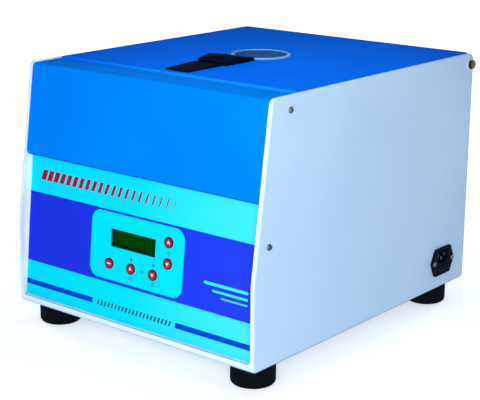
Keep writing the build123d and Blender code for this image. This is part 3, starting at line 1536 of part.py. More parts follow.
# Power inlet with its fuse drawer
inlet_plane = Plane(origin=(side_x, inlet_y, inlet_z), x_dir=(0, 1, 0), z_dir=(1, 0, 0))
inlet_face = inlet_plane.offset(inlet_flange)
pin_spots = [
    (-pin_half_pitch, socket_rise + live_pin_rise),
    (pin_half_pitch, socket_rise + live_pin_rise),
    (0, socket_rise - earth_pin_drop),
]
with BuildPart() as inlet_housing:
    with BuildSketch(inlet_plane) as flange_outline:
        with BuildLine():
            Polyline(
                (inlet_tip, 0),
                (inlet_shoulder, inlet_half_height),
                (-inlet_shoulder, inlet_half_height),
                (-inlet_tip, 0),
                (-inlet_shoulder, -inlet_half_height),
                (inlet_shoulder, -inlet_half_height),
                close=True,
            )
        make_face()
        fillet(flange_outline.vertices(), radius=inlet_corner)
        with GridLocations(inlet_screw_spacing, 0, 2, 1):
            Circle(screw_radius, mode=Mode.SUBTRACT)
    extrude(amount=inlet_flange)
    with BuildSketch(inlet_plane):
        Rectangle(inlet_body_width, inlet_body_height)
    extrude(amount=-inlet_body_depth)
    # socket, with its two lower corners cut off
    with BuildSketch(inlet_face) as socket_outline:
        with Locations((0, socket_rise)):
            Rectangle(socket_width, socket_height)
        chamfer(socket_outline.vertices().group_by(Axis.Y)[0], length=socket_chamfer)
    extrude(amount=-socket_depth, mode=Mode.SUBTRACT)
    # well for the fuse drawer
    with BuildSketch(inlet_face):
        with Locations((0, -drawer_drop)):
            Rectangle(drawer_width, drawer_height)
    extrude(amount=-drawer_depth - drawer_gap, mode=Mode.SUBTRACT)
    # slots for the three pins
    with BuildSketch(inlet_face.offset(-socket_depth)):
        with Locations(*pin_spots):
            Rectangle(pin_width, pin_height)
    extrude(amount=-inlet_body_depth, mode=Mode.SUBTRACT)
inlet_housing.part.label = "inlet_housing"
export_step(inlet_housing.part, "parts/inlet_housing.step")

with BuildPart() as inlet_pins:
    with BuildSketch(inlet_plane.offset(-inlet_body_depth - pin_tail)):
        with Locations(*pin_spots):
            Rectangle(pin_width, pin_height)
    extrude(amount=inlet_body_depth + pin_tail)
inlet_pins.part.label = "inlet_pins"
export_step(inlet_pins.part, "parts/inlet_pins.step")

with BuildPart() as inlet_screws:
    with Locations(*[inlet_face * Pos(y, 0) for y in (-inlet_screw_spacing / 2, inlet_screw_spacing / 2)]):
        add(case_screw)
inlet_screws.part.label = "inlet_screws"
export_step(inlet_screws.part, "parts/inlet_screws.step")

drawer_face = inlet_face.offset(drawer_proud)
fuse_spots = [drawer_wall + fuse_radius, drawer_wall + 3 * fuse_radius + fuse_spacing]
with BuildPart() as fuse_drawer:
    with BuildSketch(drawer_face):
        with Locations((0, -drawer_drop)):
            RectangleRounded(drawer_width - 2 * drawer_gap, drawer_height - 2 * drawer_gap, drawer_corner)
    extrude(amount=-drawer_depth - drawer_proud)
    with BuildSketch(Plane.XY.offset(inlet_z - drawer_drop + drawer_height / 2)):
        with Locations((side_x + inlet_flange - (fuse_spots[0] + fuse_spots[1]) / 2, inlet_y)):
            Rectangle(4 * fuse_radius + fuse_spacing + 2 * fuse_end_gap, fuse_length + 2 * fuse_end_gap)
    extrude(amount=-drawer_height + drawer_gap + drawer_floor, mode=Mode.SUBTRACT)
fuse_drawer.part.label = "fuse_drawer"
export_step(fuse_drawer.part, "parts/fuse_drawer.step")

fuse_z = inlet_z - drawer_drop - drawer_height / 2 + drawer_gap + drawer_floor + fuse_radius
with BuildPart() as fuses:
    for fuse_back in fuse_spots:
        with Locations((side_x + inlet_flange - fuse_back, inlet_y, fuse_z)):
            Cylinder(fuse_radius, fuse_length, rotation=(90, 0, 0))
fuses.part.label = "fuses"
export_step(fuses.part, "parts/fuses.step")
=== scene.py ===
# Butterfat centrifuge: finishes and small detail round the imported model
import bpy
import math
from mathutils import Matrix, Vector


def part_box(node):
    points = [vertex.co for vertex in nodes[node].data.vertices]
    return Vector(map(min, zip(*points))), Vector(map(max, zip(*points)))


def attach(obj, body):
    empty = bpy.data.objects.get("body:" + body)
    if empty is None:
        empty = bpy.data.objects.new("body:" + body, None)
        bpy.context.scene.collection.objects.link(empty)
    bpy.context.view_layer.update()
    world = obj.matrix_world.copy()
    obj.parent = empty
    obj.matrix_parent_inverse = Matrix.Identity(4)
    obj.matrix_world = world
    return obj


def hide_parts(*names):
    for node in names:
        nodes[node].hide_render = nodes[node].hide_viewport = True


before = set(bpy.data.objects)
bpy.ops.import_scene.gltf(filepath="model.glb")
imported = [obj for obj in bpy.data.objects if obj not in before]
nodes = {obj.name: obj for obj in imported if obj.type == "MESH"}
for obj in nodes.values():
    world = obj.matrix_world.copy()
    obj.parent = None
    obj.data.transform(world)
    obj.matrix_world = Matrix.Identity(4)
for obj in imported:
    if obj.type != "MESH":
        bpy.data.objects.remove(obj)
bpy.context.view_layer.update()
finishes = {}
perMetre = 1000.0     # millimetres in a metre
print("frame loaded,", len(nodes), "nodes")


def screenColour(red, green, blue):
    # a colour as it looks on screen, 0 to 255, as the linear values that a shader takes
    linear = []
    for part in (red, green, blue):
        part = part / 255
        linear.append(part / 12.92 if part <= 0.04045 else ((part + 0.055) / 1.055) ** 2.4)
    return (*linear, 1.0)


def startFinish(name, settings):
    # new material, with plain values set on the shader's own sockets
    material = bpy.data.materials.new(name)
    material.use_nodes = True
    shader = material.node_tree.nodes["Principled BSDF"]
    for socket, value in settings.items():
        shader.inputs[socket].default_value = value
    finishes[name] = material
    return material.node_tree, shader


def put(tree, kind, values=None, **settings):
    # add a node, set its properties, then fill its inputs or wire them
    node = tree.nodes.new(kind)
    for key, value in settings.items():
        setattr(node, key, value)
    for socket, value in (values or {}).items():
        if isinstance(value, bpy.types.NodeSocket):
            tree.links.new(value, node.inputs[socket])
        else:
            node.inputs[socket].default_value = value
    return node


def calc(tree, operation, first, second=0.0):
    return put(tree, "ShaderNodeMath", {0: first, 1: second}, operation=operation).outputs[0]


def greatest(tree, values):
    most = values[0]
    for value in values[1:]:
        most = calc(tree, "MAXIMUM", most, value)
    return most


def product(tree, values):
    total = values[0]
    for value in values[1:]:
        total = calc(tree, "MULTIPLY", total, value)
    return total


def between(tree, value, low, high):
    above = calc(tree, "GREATER_THAN", value, low)
    return calc(tree, "MULTIPLY", above, calc(tree, "LESS_THAN", value, high))


def objectSpot(tree):
    return put(tree, "ShaderNodeTexCoord").outputs["Object"]


def axesOf(tree, vector):
    return put(tree, "ShaderNodeSeparateXYZ", {0: vector}).outputs


def facingAxes(tree):
    # the way a face points, in the object's own axes, so it stays put when the object moves
    return axesOf(tree, put(tree, "ShaderNodeTexCoord").outputs["Normal"])


def stretch(tree, value, fromLow, fromHigh, toLow=0.0, toHigh=1.0):
    values = {"Value": value, "From Min": fromLow, "From Max": fromHigh, "To Min": toLow, "To Max": toHigh}
    return put(tree, "ShaderNodeMapRange", values).outputs["Result"]


def noiseOn(tree, spot, scale, detail=2.0, rough=0.5):
    values = {"Vector": spot, "Scale": scale, "Detail": detail, "Roughness": rough}
    return put(tree, "ShaderNodeTexNoise", values).outputs["Fac"]


def patchesOn(tree, spot, noise, reach, least=0.0, most=1.0):
    # soft patches: noise is scale, detail and roughness, reach is where they begin and are full
    return stretch(tree, noiseOn(tree, spot, *noise), *reach, least, most)


def blendColours(tree, factor, first, second):
    node = put(tree, "ShaderNodeMix", data_type="RGBA")
    for index, value in ((0, factor), (6, first), (7, second)):
        if isinstance(value, bpy.types.NodeSocket):
            tree.links.new(value, node.inputs[index])
        else:
            node.inputs[index].default_value = value
    return node.outputs[2]


def paintOver(tree, mask, colour):
    # lay a colour over what feeds the shader's colour so far
    target = tree.nodes["Principled BSDF"].inputs["Base Color"]
    tree.links.new(blendColours(tree, mask, target.links[0].from_socket, colour), target)


def bumpFrom(tree, shader, height, strength, distance):
    bump = put(tree, "ShaderNodeBump", {"Height": height, "Strength": strength, "Distance": distance})
    tree.links.new(bump.outputs["Normal"], shader.inputs["Normal"])


def edgeMask(tree, radius, low, high, samples=4):
    # 1 on bends and cut edges, 0 on the flats
    soft = put(tree, "ShaderNodeBevel", {"Radius": radius}, samples=samples).outputs["Normal"]
    hard = put(tree, "ShaderNodeNewGeometry").outputs["Normal"]
    dot = put(tree, "ShaderNodeVectorMath", {0: soft, 1: hard}, operation="DOT_PRODUCT").outputs["Value"]
    return stretch(tree, dot, 1.0 - low, 1.0 - high)


# painted sheet steel; every noise is scale, detail and roughness, and lengths are in metres
paintLook = {
    "coatRough": 0.18,
    "cloud": (5.0, 3.0),
    "cloudReach": (0.35, 0.65),
    "edgeRadius": 0.0012,
    "edgeReach": (0.02, 0.35),
    "rub": (420.0, 1.0),           # tiny marks where hands and boxes brush past
    "rubReach": (0.8, 0.86),
    "rubShare": 0.3,
    "smear": (38.0, 4.0, 0.6),
    "smearReach": (0.3, 0.7),
    "peel": (1500.0, 2.0),
    "peelDepth": 0.0002,
    # worn is the tone of rub marks and also of the painted highlight on bends
    "coats": {
        "blueEnamel": {
            "flat": screenColour(0, 135, 247),
            "deep": screenColour(0, 126, 239),
            "wornAndHighlight": screenColour(48, 176, 255),
            "rough": (0.38, 0.52),
            "peel": 0.25,
            "gloss": 0.012,        # weight of the clear coat
        },
        # the hood's blue paint again, painted darker as shade for the lid
        "shadedBlueEnamel": {
            "flat": screenColour(0, 117, 255),
            "deep": screenColour(0, 107, 248),
            "wornAndHighlight": screenColour(48, 176, 255),
            "rough": (0.38, 0.52),
            "peel": 0.25,
            "gloss": 0.012,
        },
        "paleShellCoat": {
            "flat": screenColour(203, 227, 251),
            "deep": screenColour(195, 221, 248),
            "wornAndHighlight": screenColour(220, 237, 248),
            "rough": (0.42, 0.56),
            "peel": 0.4,
            "gloss": 0.15,
        },
        "whitePanelCoat": {
            "flat": screenColour(226, 240, 248),
            "deep": screenColour(214, 232, 244),
            "wornAndHighlight": screenColour(220, 237, 248),
            "rough": (0.42, 0.56),
            "peel": 0.4,
            "gloss": 0.15,
        },
    },
}


def paintedSteel(name):
    coat = paintLook["coats"][name]
    settings = {
        "Specular IOR Level": 0.0,
        "Coat Weight": coat["gloss"],
        "Coat Roughness": paintLook["coatRough"],
    }
    tree, shader = startFinish(name, settings)
    spot = objectSpot(tree)
    cloud = patchesOn(tree, spot, paintLook["cloud"], paintLook["cloudReach"])
    colour = blendColours(tree, cloud, coat["flat"], coat["deep"])
    # painted highlight: bends and cut edges take the paler worn tone
    edges = edgeMask(tree, paintLook["edgeRadius"], *paintLook["edgeReach"])
    colour = blendColours(tree, edges, colour, coat["wornAndHighlight"])
    rub = patchesOn(tree, spot, paintLook["rub"], paintLook["rubReach"], most=paintLook["rubShare"])
    colour = blendColours(tree, rub, colour, coat["wornAndHighlight"])
    tree.links.new(colour, shader.inputs["Base Color"])
    smear = patchesOn(tree, spot, paintLook["smear"], paintLook["smearReach"], *coat["rough"])
    tree.links.new(smear, shader.inputs["Roughness"])
    bumpFrom(tree, shader, noiseOn(tree, spot, *paintLook["peel"]), coat["peel"], paintLook["peelDepth"])


# painted shade on the hood: a darker blue along its bottom edge and beside the cabinet's sides, where shade
# falls
hoodEdgeShadeLook = {
    "colour": screenColour(0, 74, 176),
    "beside": (0.1735, 0.1741),    # how far out it begins and is full
    "under": (0.2042, 0.2034),     # and how low
    "share": 0.8,
}


def addCutEdges(tree):
    axes = axesOf(tree, objectSpot(tree))
    sideways = calc(tree, "ABSOLUTE", axes["X"])
    beside = stretch(tree, sideways, *hoodEdgeShadeLook["beside"], 0.0, hoodEdgeShadeLook["share"])
    under = stretch(tree, axes["Z"], *hoodEdgeShadeLook["under"], 0.0, hoodEdgeShadeLook["share"])
    # the darker blue here is painted shade
    paintOver(tree, calc(tree, "MAXIMUM", beside, under), hoodEdgeShadeLook["colour"])


# painted highlight on the lid's front fold: a paler blue, which grows from left to right
foldHighlightLook = {
    "colour": screenColour(20, 160, 255),
    "turn": (-0.1, -0.6),          # how far a face turns to the front before it takes the tone
    "share": 0.85,
    "front": -0.12,
    "across": (-0.17, 0.02),
    "fade": (0.15, 1.0),
}


def addFold(tree):
    axes = axesOf(tree, objectSpot(tree))
    ahead = stretch(tree, facingAxes(tree)["Y"], *foldHighlightLook["turn"], 0.0, foldHighlightLook["share"])
    along = stretch(tree, axes["X"], *foldHighlightLook["across"], *foldHighlightLook["fade"])
    front = calc(tree, "LESS_THAN", axes["Y"], foldHighlightLook["front"])
    # painted highlight on the fold
    paintOver(tree, product(tree, [ahead, front, along]), foldHighlightLook["colour"])


# painted shade: a dark line where the cabinet's sides turn under and end at the rear
edgeShadeLook = {
    "colour": screenColour(84, 104, 130),
    "under": (0.0283, 0.0278),     # how low it begins and is full
    "behind": (0.2088, 0.2093),    # and how far back
    "outside": 0.1745,
    "share": 0.85,
}


def addSeam(tree):
    axes = axesOf(tree, objectSpot(tree))
    under = stretch(tree, axes["Z"], *edgeShadeLook["under"], 0.0, edgeShadeLook["share"])
    behind = stretch(tree, axes["Y"], *edgeShadeLook["behind"], 0.0, edgeShadeLook["share"])
    outside = calc(tree, "GREATER_THAN", calc(tree, "ABSOLUTE", axes["X"]), edgeShadeLook["outside"])
    line = calc(tree, "MAXIMUM", under, behind)
    # painted shade along the edges
    paintOver(tree, calc(tree, "MULTIPLY", line, outside), edgeShadeLook["colour"])


# painted light: the sides' inner faces and front lips, in front of the panel, whitened as if brightly lit
insideLightLook = {
    "colour": screenColour(252, 253, 250),
    "front": -0.15,
    "inwards": -0.05,              # place across times the way a face points, below which it points inwards
    "lipTurn": -0.9,
    "lipShare": 0.6,
}


def addInside(tree):
    axes = axesOf(tree, objectSpot(tree))
    outwards = facingAxes(tree)
    inner = calc(tree, "LESS_THAN", calc(tree, "MULTIPLY", axes["X"], outwards["X"]), insideLightLook["inwards"])
    lip = calc(tree, "LESS_THAN", outwards["Y"], insideLightLook["lipTurn"])
    lip = calc(tree, "MULTIPLY", lip, insideLightLook["lipShare"])
    white = calc(tree, "MAXIMUM", inner, lip)
    front = calc(tree, "LESS_THAN", axes["Y"], insideLightLook["front"])
    # painted light on the inner faces and lips
    paintOver(tree, calc(tree, "MULTIPLY", white, front), insideLightLook["colour"])


for coatName in paintLook["coats"]:
    paintedSteel(coatName)
addCutEdges(finishes["blueEnamel"].node_tree)
addFold(finishes["shadedBlueEnamel"].node_tree)
# the shell's paint, with painted shade on its edges and painted light on its inner faces and lips
shellShadeAndLightCoat = finishes["paleShellCoat"].copy()
shellShadeAndLightCoat.name = "paleShellShadeAndLight"
finishes["paleShellShadeAndLight"] = shellShadeAndLightCoat
addSeam(shellShadeAndLightCoat.node_tree)
addInside(shellShadeAndLightCoat.node_tree)
print("painted steel done")


# the control panel's plane: its foot in metres, and its lean in degrees
panelPlane = {
    "foot": (0.0, -0.204, 0.0355),
    "lean": 5.8,
}


def panelSpot(tree):
    # place across the panel and up it, both in millimetres
    spot = objectSpot(tree)
    lean = math.radians(panelPlane["lean"])
    up = (0.0, perMetre * math.sin(lean), perMetre * math.cos(lean))
    rise = put(tree, "ShaderNodeVectorMath", {0: spot, 1: up}, operation="DOT_PRODUCT").outputs["Value"]
    rise = calc(tree, "SUBTRACT", rise, Vector(panelPlane["foot"]).dot(Vector(up)))
    across = calc(tree, "MULTIPLY", axesOf(tree, spot)["X"], perMetre)
    return across, rise, spot


# printed film on the control panel; places and sizes are millimetres on the panel's plane
filmLook = {
    "cyan": screenColour(0, 226, 246),
    "cyanPale": screenColour(66, 225, 243),
    "navy": screenColour(30, 52, 222),
    "navyPale": screenColour(36, 60, 238),
    "field": screenColour(0, 226, 241),
    "line": screenColour(0, 66, 200),
    "ink": screenColour(8, 24, 70),
    "red": screenColour(168, 22, 56),
    # painted light: cyan and navy turn paler from left to right, as if lit more from the right
    "paintedLightAcross": (0.0, 150.0),    # where the colours turn paler, from left to right
    "gloss": 0.05,
    "coatRough": 0.2,
    "rough": (0.34, 0.5),
    "smear": (30.0, 5.0, 0.65),
    "smearReach": (0.3, 0.7),
    "print": (2600.0, 1.0),        # fine texture of the screen print
    "printHeight": 0.12,
    "printDepth": 0.0001,
    "navyBand": (41.0, 123.5),
    "fieldBox": ((-0.8, 82.7), (69.2, 38.2), 13.0),    # middle, half size and corner
    "fieldLine": 1.4,
    "stripeBand": (12.5, 18.6),
    "stripeGap": (-63.0, 61.5),
    "bars": (                      # left, right, height up the panel and thickness
        (98.0, 158.0, 71.5, 3.4),
        (110.0, 158.0, 64.5, 2.6),
        (122.0, 158.0, 58.5, 1.8),
    ),
    "redRow": {                    # printed is the share of the pitch, at the first block and at the last
        "across": (-156.0, 49.0),
        "rise": (139.0, 151.0),
        "pitch": 10.2,
        "slant": 0.35,
        "printed": (0.78, 0.12),
    },
    "inkRow": {
        "across": (-56.0, 55.0),
        "rise": (12.6, 18.4),
        "pitch": 5.4,
        "slant": 0.35,
        "printed": (0.42, 0.42),
    },
    "rings": (                     # across, up and radius
        (-6.8, 52.4, 1.9),
        (25.9, 52.4, 1.9),
        (46.5, 91.8, 2.1),
    ),
    "ringLine": 0.26,              # half the ring's line
    "dashes": (                    # across, up, half width and half height
        (-6.8, 53.0, 0.25, 0.85),
        (-6.3, 52.4, 0.7, 0.25),
        (25.9, 53.0, 0.25, 0.85),
        (26.4, 52.4, 0.7, 0.25),
        (46.5, 92.5, 0.28, 1.1),
        (9.5, 64.2, 2.6, 0.35),
        (9.5, 62.4, 2.6, 0.35),
        (25.9, 73.6, 1.25, 1.25),
    ),
    "dashCorner": 0.12,
    "arrow": (-6.8, 73.6, 1.5),    # across, up and size
    "arrowLength": 2.2,            # in sizes
    "arrowSlope": 0.58,
}


def roundedBox(tree, across, rise, middle, half, corner):
    # distance to a rounded box's edge, negative inside
    offsets = []
    for value, centre, size in ((across, middle[0], half[0]), (rise, middle[1], half[1])):
        away = calc(tree, "ABSOLUTE", calc(tree, "SUBTRACT", value, centre))
        offsets.append(calc(tree, "SUBTRACT", away, size - corner))
    outside = [calc(tree, "MAXIMUM", value, 0.0) for value in offsets]
    squares = [calc(tree, "POWER", value, 2.0) for value in outside]
    length = calc(tree, "SQRT", calc(tree, "ADD", *squares))
    inside = calc(tree, "MINIMUM", calc(tree, "MAXIMUM", *offsets), 0.0)
    return calc(tree, "SUBTRACT", calc(tree, "ADD", length, inside), corner)


def insideBox(tree, across, rise, middle, half, corner):
    return calc(tree, "LESS_THAN", roundedBox(tree, across, rise, middle, half, corner), 0.0)


def reachFrom(tree, across, rise, middle):
    beside = calc(tree, "POWER", calc(tree, "SUBTRACT", across, middle[0]), 2.0)
    above = calc(tree, "POWER", calc(tree, "SUBTRACT", rise, middle[1]), 2.0)
    return calc(tree, "SQRT", calc(tree, "ADD", beside, above))


def slantedRow(tree, across, rise, row):
    # a row of slanted blocks
    low, high = row["across"]
    slant = calc(tree, "MULTIPLY", calc(tree, "SUBTRACT", rise, row["rise"][0]), row["slant"])
    along = calc(tree, "SUBTRACT", calc(tree, "SUBTRACT", across, low), slant)
    turn = calc(tree, "DIVIDE", along, row["pitch"])
    lastBlock = math.floor((high - low) / row["pitch"])
    printed = stretch(tree, calc(tree, "FLOOR", turn), 0.0, lastBlock, *row["printed"])
    block = calc(tree, "LESS_THAN", calc(tree, "FRACT", turn), printed)
    return product(tree, [block, between(tree, along, 0.0, high - low), between(tree, rise, *row["rise"])])


def inkMarks(tree, across, rise):
    # small dial, clock, start and stop signs beside the keys
    marks = []
    for x, y, radius in filmLook["rings"]:
        away = calc(tree, "ABSOLUTE", calc(tree, "SUBTRACT", reachFrom(tree, across, rise, (x, y)), radius))
        marks.append(calc(tree, "LESS_THAN", away, filmLook["ringLine"]))
    for x, y, wide, tall in filmLook["dashes"]:
        marks.append(insideBox(tree, across, rise, (x, y), (wide, tall), filmLook["dashCorner"]))
    x, y, size = filmLook["arrow"]
    reach = filmLook["arrowLength"] * size
    along = calc(tree, "SUBTRACT", across, x - size)
    height = calc(tree, "ABSOLUTE", calc(tree, "SUBTRACT", rise, y))
    slope = calc(tree, "MULTIPLY", calc(tree, "SUBTRACT", reach, along), filmLook["arrowSlope"])
    marks.append(product(tree, [between(tree, along, 0.0, reach), calc(tree, "LESS_THAN", height, slope)]))
    return greatest(tree, marks)


def printedFilm():
    settings = {
        "Specular IOR Level": 0.0,
        "Coat Weight": filmLook["gloss"],
        "Coat Roughness": filmLook["coatRough"],
    }
    tree, shader = startFinish("printedFilm", settings)
    across, rise, spot = panelSpot(tree)
    # painted light: paler towards the right
    pale = stretch(tree, across, *filmLook["paintedLightAcross"])
    cyan = blendColours(tree, pale, filmLook["cyan"], filmLook["cyanPale"])
    navy = blendColours(tree, pale, filmLook["navy"], filmLook["navyPale"])
    colour = blendColours(tree, between(tree, rise, *filmLook["navyBand"]), cyan, navy)
    tree.links.new(colour, shader.inputs["Base Color"])

    # the keys' field and its line
    field = roundedBox(tree, across, rise, *filmLook["fieldBox"])
    paintOver(tree, calc(tree, "LESS_THAN", field, filmLook["fieldLine"]), filmLook["line"])
    paintOver(tree, calc(tree, "LESS_THAN", field, 0.0), filmLook["field"])

    # the stripe along the foot, broken in the middle, and the three bars at the right
    sides = calc(tree, "SUBTRACT", 1.0, between(tree, across, *filmLook["stripeGap"]))
    paintOver(tree, product(tree, [between(tree, rise, *filmLook["stripeBand"]), sides]), filmLook["line"])
    for left, right, level, thick in filmLook["bars"]:
        middle = ((left + right) / 2, level)
        half = ((right - left) / 2, thick / 2)
        paintOver(tree, insideBox(tree, across, rise, middle, half, thick / 2), filmLook["cyanPale"])
    paintOver(tree, slantedRow(tree, across, rise, filmLook["redRow"]), filmLook["red"])
    paintOver(tree, slantedRow(tree, across, rise, filmLook["inkRow"]), filmLook["ink"])
    paintOver(tree, inkMarks(tree, across, rise), filmLook["ink"])

    # a few wiped smears in the gloss
    smear = patchesOn(tree, spot, filmLook["smear"], filmLook["smearReach"], *filmLook["rough"])
    tree.links.new(smear, shader.inputs["Roughness"])
    texture = noiseOn(tree, spot, *filmLook["print"])
    bumpFrom(tree, shader, texture, filmLook["printHeight"], filmLook["printDepth"])


printedFilm()
print("printed film done")


# display: green glass with a faint grid of character cells, in millimetres on the panel's plane
displayLook = {
    "middle": (-5.8, 93.0),
    "glassHalf": (30.5, 7.9),
    "glassCorner": 0.6,
    "green": screenColour(0, 92, 10),
    "greenDeep": screenColour(0, 64, 6),
    "dark": screenColour(3, 5, 8),
    "rough": 0.35,
    "cell": (3.55, 6.6),           # pitch of the cells, across and up
    "cellGap": 0.45,
    "cellShare": 0.45,
    "fleck": (900.0, 2.0),
    "fleckLimit": 0.46,
    "fleckShare": 0.12,
    "frameHalf": (33.1, 10.0),
    "frameWall": 1.5,
    "frameRise": 0.45,
    "frameRound": 0.25,
}


def displayModule():
    settings = {"Roughness": displayLook["rough"], "Specular IOR Level": 0.0}
    tree, shader = startFinish("displayModule", settings)
    across, rise, spot = panelSpot(tree)
    rows = []
    for value, pitch, start in zip((across, rise), displayLook["cell"], displayLook["middle"]):
        turn = calc(tree, "FLOORED_MODULO", calc(tree, "SUBTRACT", value, start), pitch)
        rows.append(between(tree, turn, displayLook["cellGap"], pitch - displayLook["cellGap"]))
    cells = calc(tree, "MULTIPLY", product(tree, rows), displayLook["cellShare"])
    green = blendColours(tree, cells, displayLook["green"], displayLook["greenDeep"])
    glassBox = (displayLook["middle"], displayLook["glassHalf"], displayLook["glassCorner"])
    glass = insideBox(tree, across, rise, *glassBox)
    tree.links.new(blendColours(tree, glass, displayLook["dark"], green), shader.inputs["Base Color"])
    fleck = calc(tree, "LESS_THAN", noiseOn(tree, spot, *displayLook["fleck"]), displayLook["fleckLimit"])
    paintOver(tree, calc(tree, "MULTIPLY", fleck, displayLook["fleckShare"]), displayLook["dark"])


# thin clear plastic and glass: cover is how much of the tint shows
clearLook = {
    "coatRough": 0.08,
    "haze": (60.0, 5.0, 0.6),
    "hazeReach": (0.4, 0.75),
    "scratch": (700.0, 2.0),
    "scratchDepth": 0.0001,
    "sheets": {
        "displayPane": {
            "tint": screenColour(0, 22, 8),
            "cover": 0.14,
            "rough": (0.1, 0.2),
            "scratch": 0.02,
            "gloss": 0.02,
        },
        "windowPane": {
            "tint": screenColour(0, 76, 166),
            "cover": 0.7,
            "rough": (0.06, 0.2),
            "scratch": 0.05,
            "gloss": 0.05,
        },
        "fuseGlass": {
            "tint": screenColour(214, 220, 216),
            "cover": 0.4,
            "rough": (0.05, 0.12),
            "scratch": 0.02,
            "gloss": 0.4,
        },
    },
}


def clearSheet(name):
    sheet = clearLook["sheets"][name]
    settings = {
        "Base Color": sheet["tint"],
        "Alpha": sheet["cover"],
        "Specular IOR Level": 0.0,
        "Coat Weight": sheet["gloss"],
        "Coat Roughness": clearLook["coatRough"],
    }
    tree, shader = startFinish(name, settings)
    spot = objectSpot(tree)
    haze = patchesOn(tree, spot, clearLook["haze"], clearLook["hazeReach"], *sheet["rough"])
    tree.links.new(haze, shader.inputs["Roughness"])
    scratches = noiseOn(tree, spot, *clearLook["scratch"])
    bumpFrom(tree, shader, scratches, sheet["scratch"], clearLook["scratchDepth"])


# the lid window's ripple, and bright specks that are painted reflections
rippleLook = {
    "colour": screenColour(4, 112, 172),
    "pulled": (1.0, 0.35, 1.0),
    "ripple": (90.0, 3.0),
    "rippleReach": (0.35, 0.65),
    "reflectionColour": screenColour(150, 214, 232),
    "reflectionSpeck": (480.0, 1.0),
    "reflectionReach": (0.68, 0.74),
    "reflectionShare": 0.7,
}


def addRipple(tree, tint):
    moved = {"Vector": objectSpot(tree), "Scale": rippleLook["pulled"]}
    spot = put(tree, "ShaderNodeMapping", moved).outputs["Vector"]
    ripple = patchesOn(tree, spot, rippleLook["ripple"], rippleLook["rippleReach"])
    rippled = blendColours(tree, ripple, tint, rippleLook["colour"])
    tree.links.new(rippled, tree.nodes["Principled BSDF"].inputs["Base Color"])
    share = rippleLook["reflectionShare"]
    # bright specks painted as reflections
    reflectionSpeck = patchesOn(tree, spot, rippleLook["reflectionSpeck"], rippleLook["reflectionReach"], most=share)
    paintOver(tree, reflectionSpeck, rippleLook["reflectionColour"])


displayModule()
for sheetName in clearLook["sheets"]:
    clearSheet(sheetName)
addRipple(finishes["windowPane"].node_tree, clearLook["sheets"]["windowPane"]["tint"])
print("display and clear sheets done")


# plastic, rubber and the other things that aren't bare metal
mouldedLook = {
    "coatRough": 0.25,
    "cloud": (24.0, 4.0),
    "cloudReach": (0.35, 0.65),
    "smear": (90.0, 3.0),
    "smearReach": (0.3, 0.7),
    "grainDetail": 2.0,
    "grainDepth": 0.0002,
    "kinds": {
        "blackMoulding": {
            "colours": (screenColour(8, 13, 26), screenColour(11, 18, 34)),
            "rough": (0.32, 0.5),
            "grain": 0.25,
            "grainScale": 1800.0,
            "gloss": 0.07,
        },
        "latchMoulding": {
            "colours": (screenColour(2, 13, 30), screenColour(6, 20, 40)),
            "rough": (0.32, 0.5),
            "grain": 0.3,
            "grainScale": 1500.0,
            "gloss": 0.018,
        },
        "footRubber": {
            "colours": (screenColour(8, 11, 16), screenColour(15, 18, 24)),
            "rough": (0.5, 0.72),
            "grain": 0.35,
            "grainScale": 900.0,
            "gloss": 0.05,
        },
        "softRubber": {
            "colours": (screenColour(38, 38, 42), screenColour(52, 52, 56)),
            "rough": (0.6, 0.8),
            "grain": 0.3,
            "grainScale": 700.0,
            "gloss": 0.3,
        },
        "keyRed": {
            "colours": (screenColour(206, 26, 56), screenColour(176, 14, 40)),
            "rough": (0.3, 0.42),
            "grain": 0.15,
            "grainScale": 2200.0,
            "gloss": 0.2,
        },
        "symbolWhite": {
            "colours": (screenColour(236, 226, 228), screenColour(224, 212, 216)),
            "rough": (0.4, 0.5),
            "grain": 0.1,
            "grainScale": 1600.0,
            "gloss": 0.1,
        },
        "numberInk": {
            "colours": (screenColour(24, 26, 32), screenColour(36, 38, 46)),
            "rough": (0.4, 0.5),
            "grain": 0.1,
            "grainScale": 1600.0,
            "gloss": 0.1,
        },
        "paleTrim": {
            "colours": (screenColour(112, 164, 206), screenColour(88, 146, 196)),
            "rough": (0.15, 0.25),
            "grain": 0.05,
            "grainScale": 900.0,
            "gloss": 0.3,
        },
        "washerNylon": {
            "colours": (screenColour(222, 228, 224), screenColour(204, 212, 206)),
            "rough": (0.4, 0.5),
            "grain": 0.2,
            "grainScale": 900.0,
            "gloss": 0.3,
        },
        "circuitGreen": {
            "colours": (screenColour(16, 96, 54), screenColour(10, 72, 40)),
            "rough": (0.35, 0.5),
            "grain": 0.3,
            "grainScale": 1400.0,
            "gloss": 0.2,
        },
        "blackPlatePaint": {
            "colours": (screenColour(30, 31, 34), screenColour(40, 41, 44)),
            "rough": (0.4, 0.55),
            "grain": 0.3,
            "grainScale": 1200.0,
            "gloss": 0.3,
        },
    },
}


def mouldedPlastic(name):
    kind = mouldedLook["kinds"][name]
    settings = {
        "Specular IOR Level": 0.0,
        "Coat Weight": kind["gloss"],
        "Coat Roughness": mouldedLook["coatRough"],
    }
    tree, shader = startFinish(name, settings)
    spot = objectSpot(tree)
    cloud = patchesOn(tree, spot, mouldedLook["cloud"], mouldedLook["cloudReach"])
    tree.links.new(blendColours(tree, cloud, *kind["colours"]), shader.inputs["Base Color"])
    smear = patchesOn(tree, spot, mouldedLook["smear"], mouldedLook["smearReach"], *kind["rough"])
    tree.links.new(smear, shader.inputs["Roughness"])
    grain = noiseOn(tree, spot, kind["grainScale"], mouldedLook["grainDetail"])
    bumpFrom(tree, shader, grain, kind["grain"], mouldedLook["grainDepth"])


# painted highlight: the bright rim of the window's ring
rimHighlightLook = {
    "colour": screenColour(224, 240, 250),
    "radius": 0.0009,
    "reach": (0.01, 0.2),
}


def addRim(tree):
    # painted highlight along the ring's edges
    paintOver(tree, edgeMask(tree, rimHighlightLook["radius"], *rimHighlightLook["reach"]), rimHighlightLook["colour"])


for kindName in mouldedLook["kinds"]:
    mouldedPlastic(kindName)
addRim(finishes["paleTrim"].node_tree)
print("plastics and rubber done")


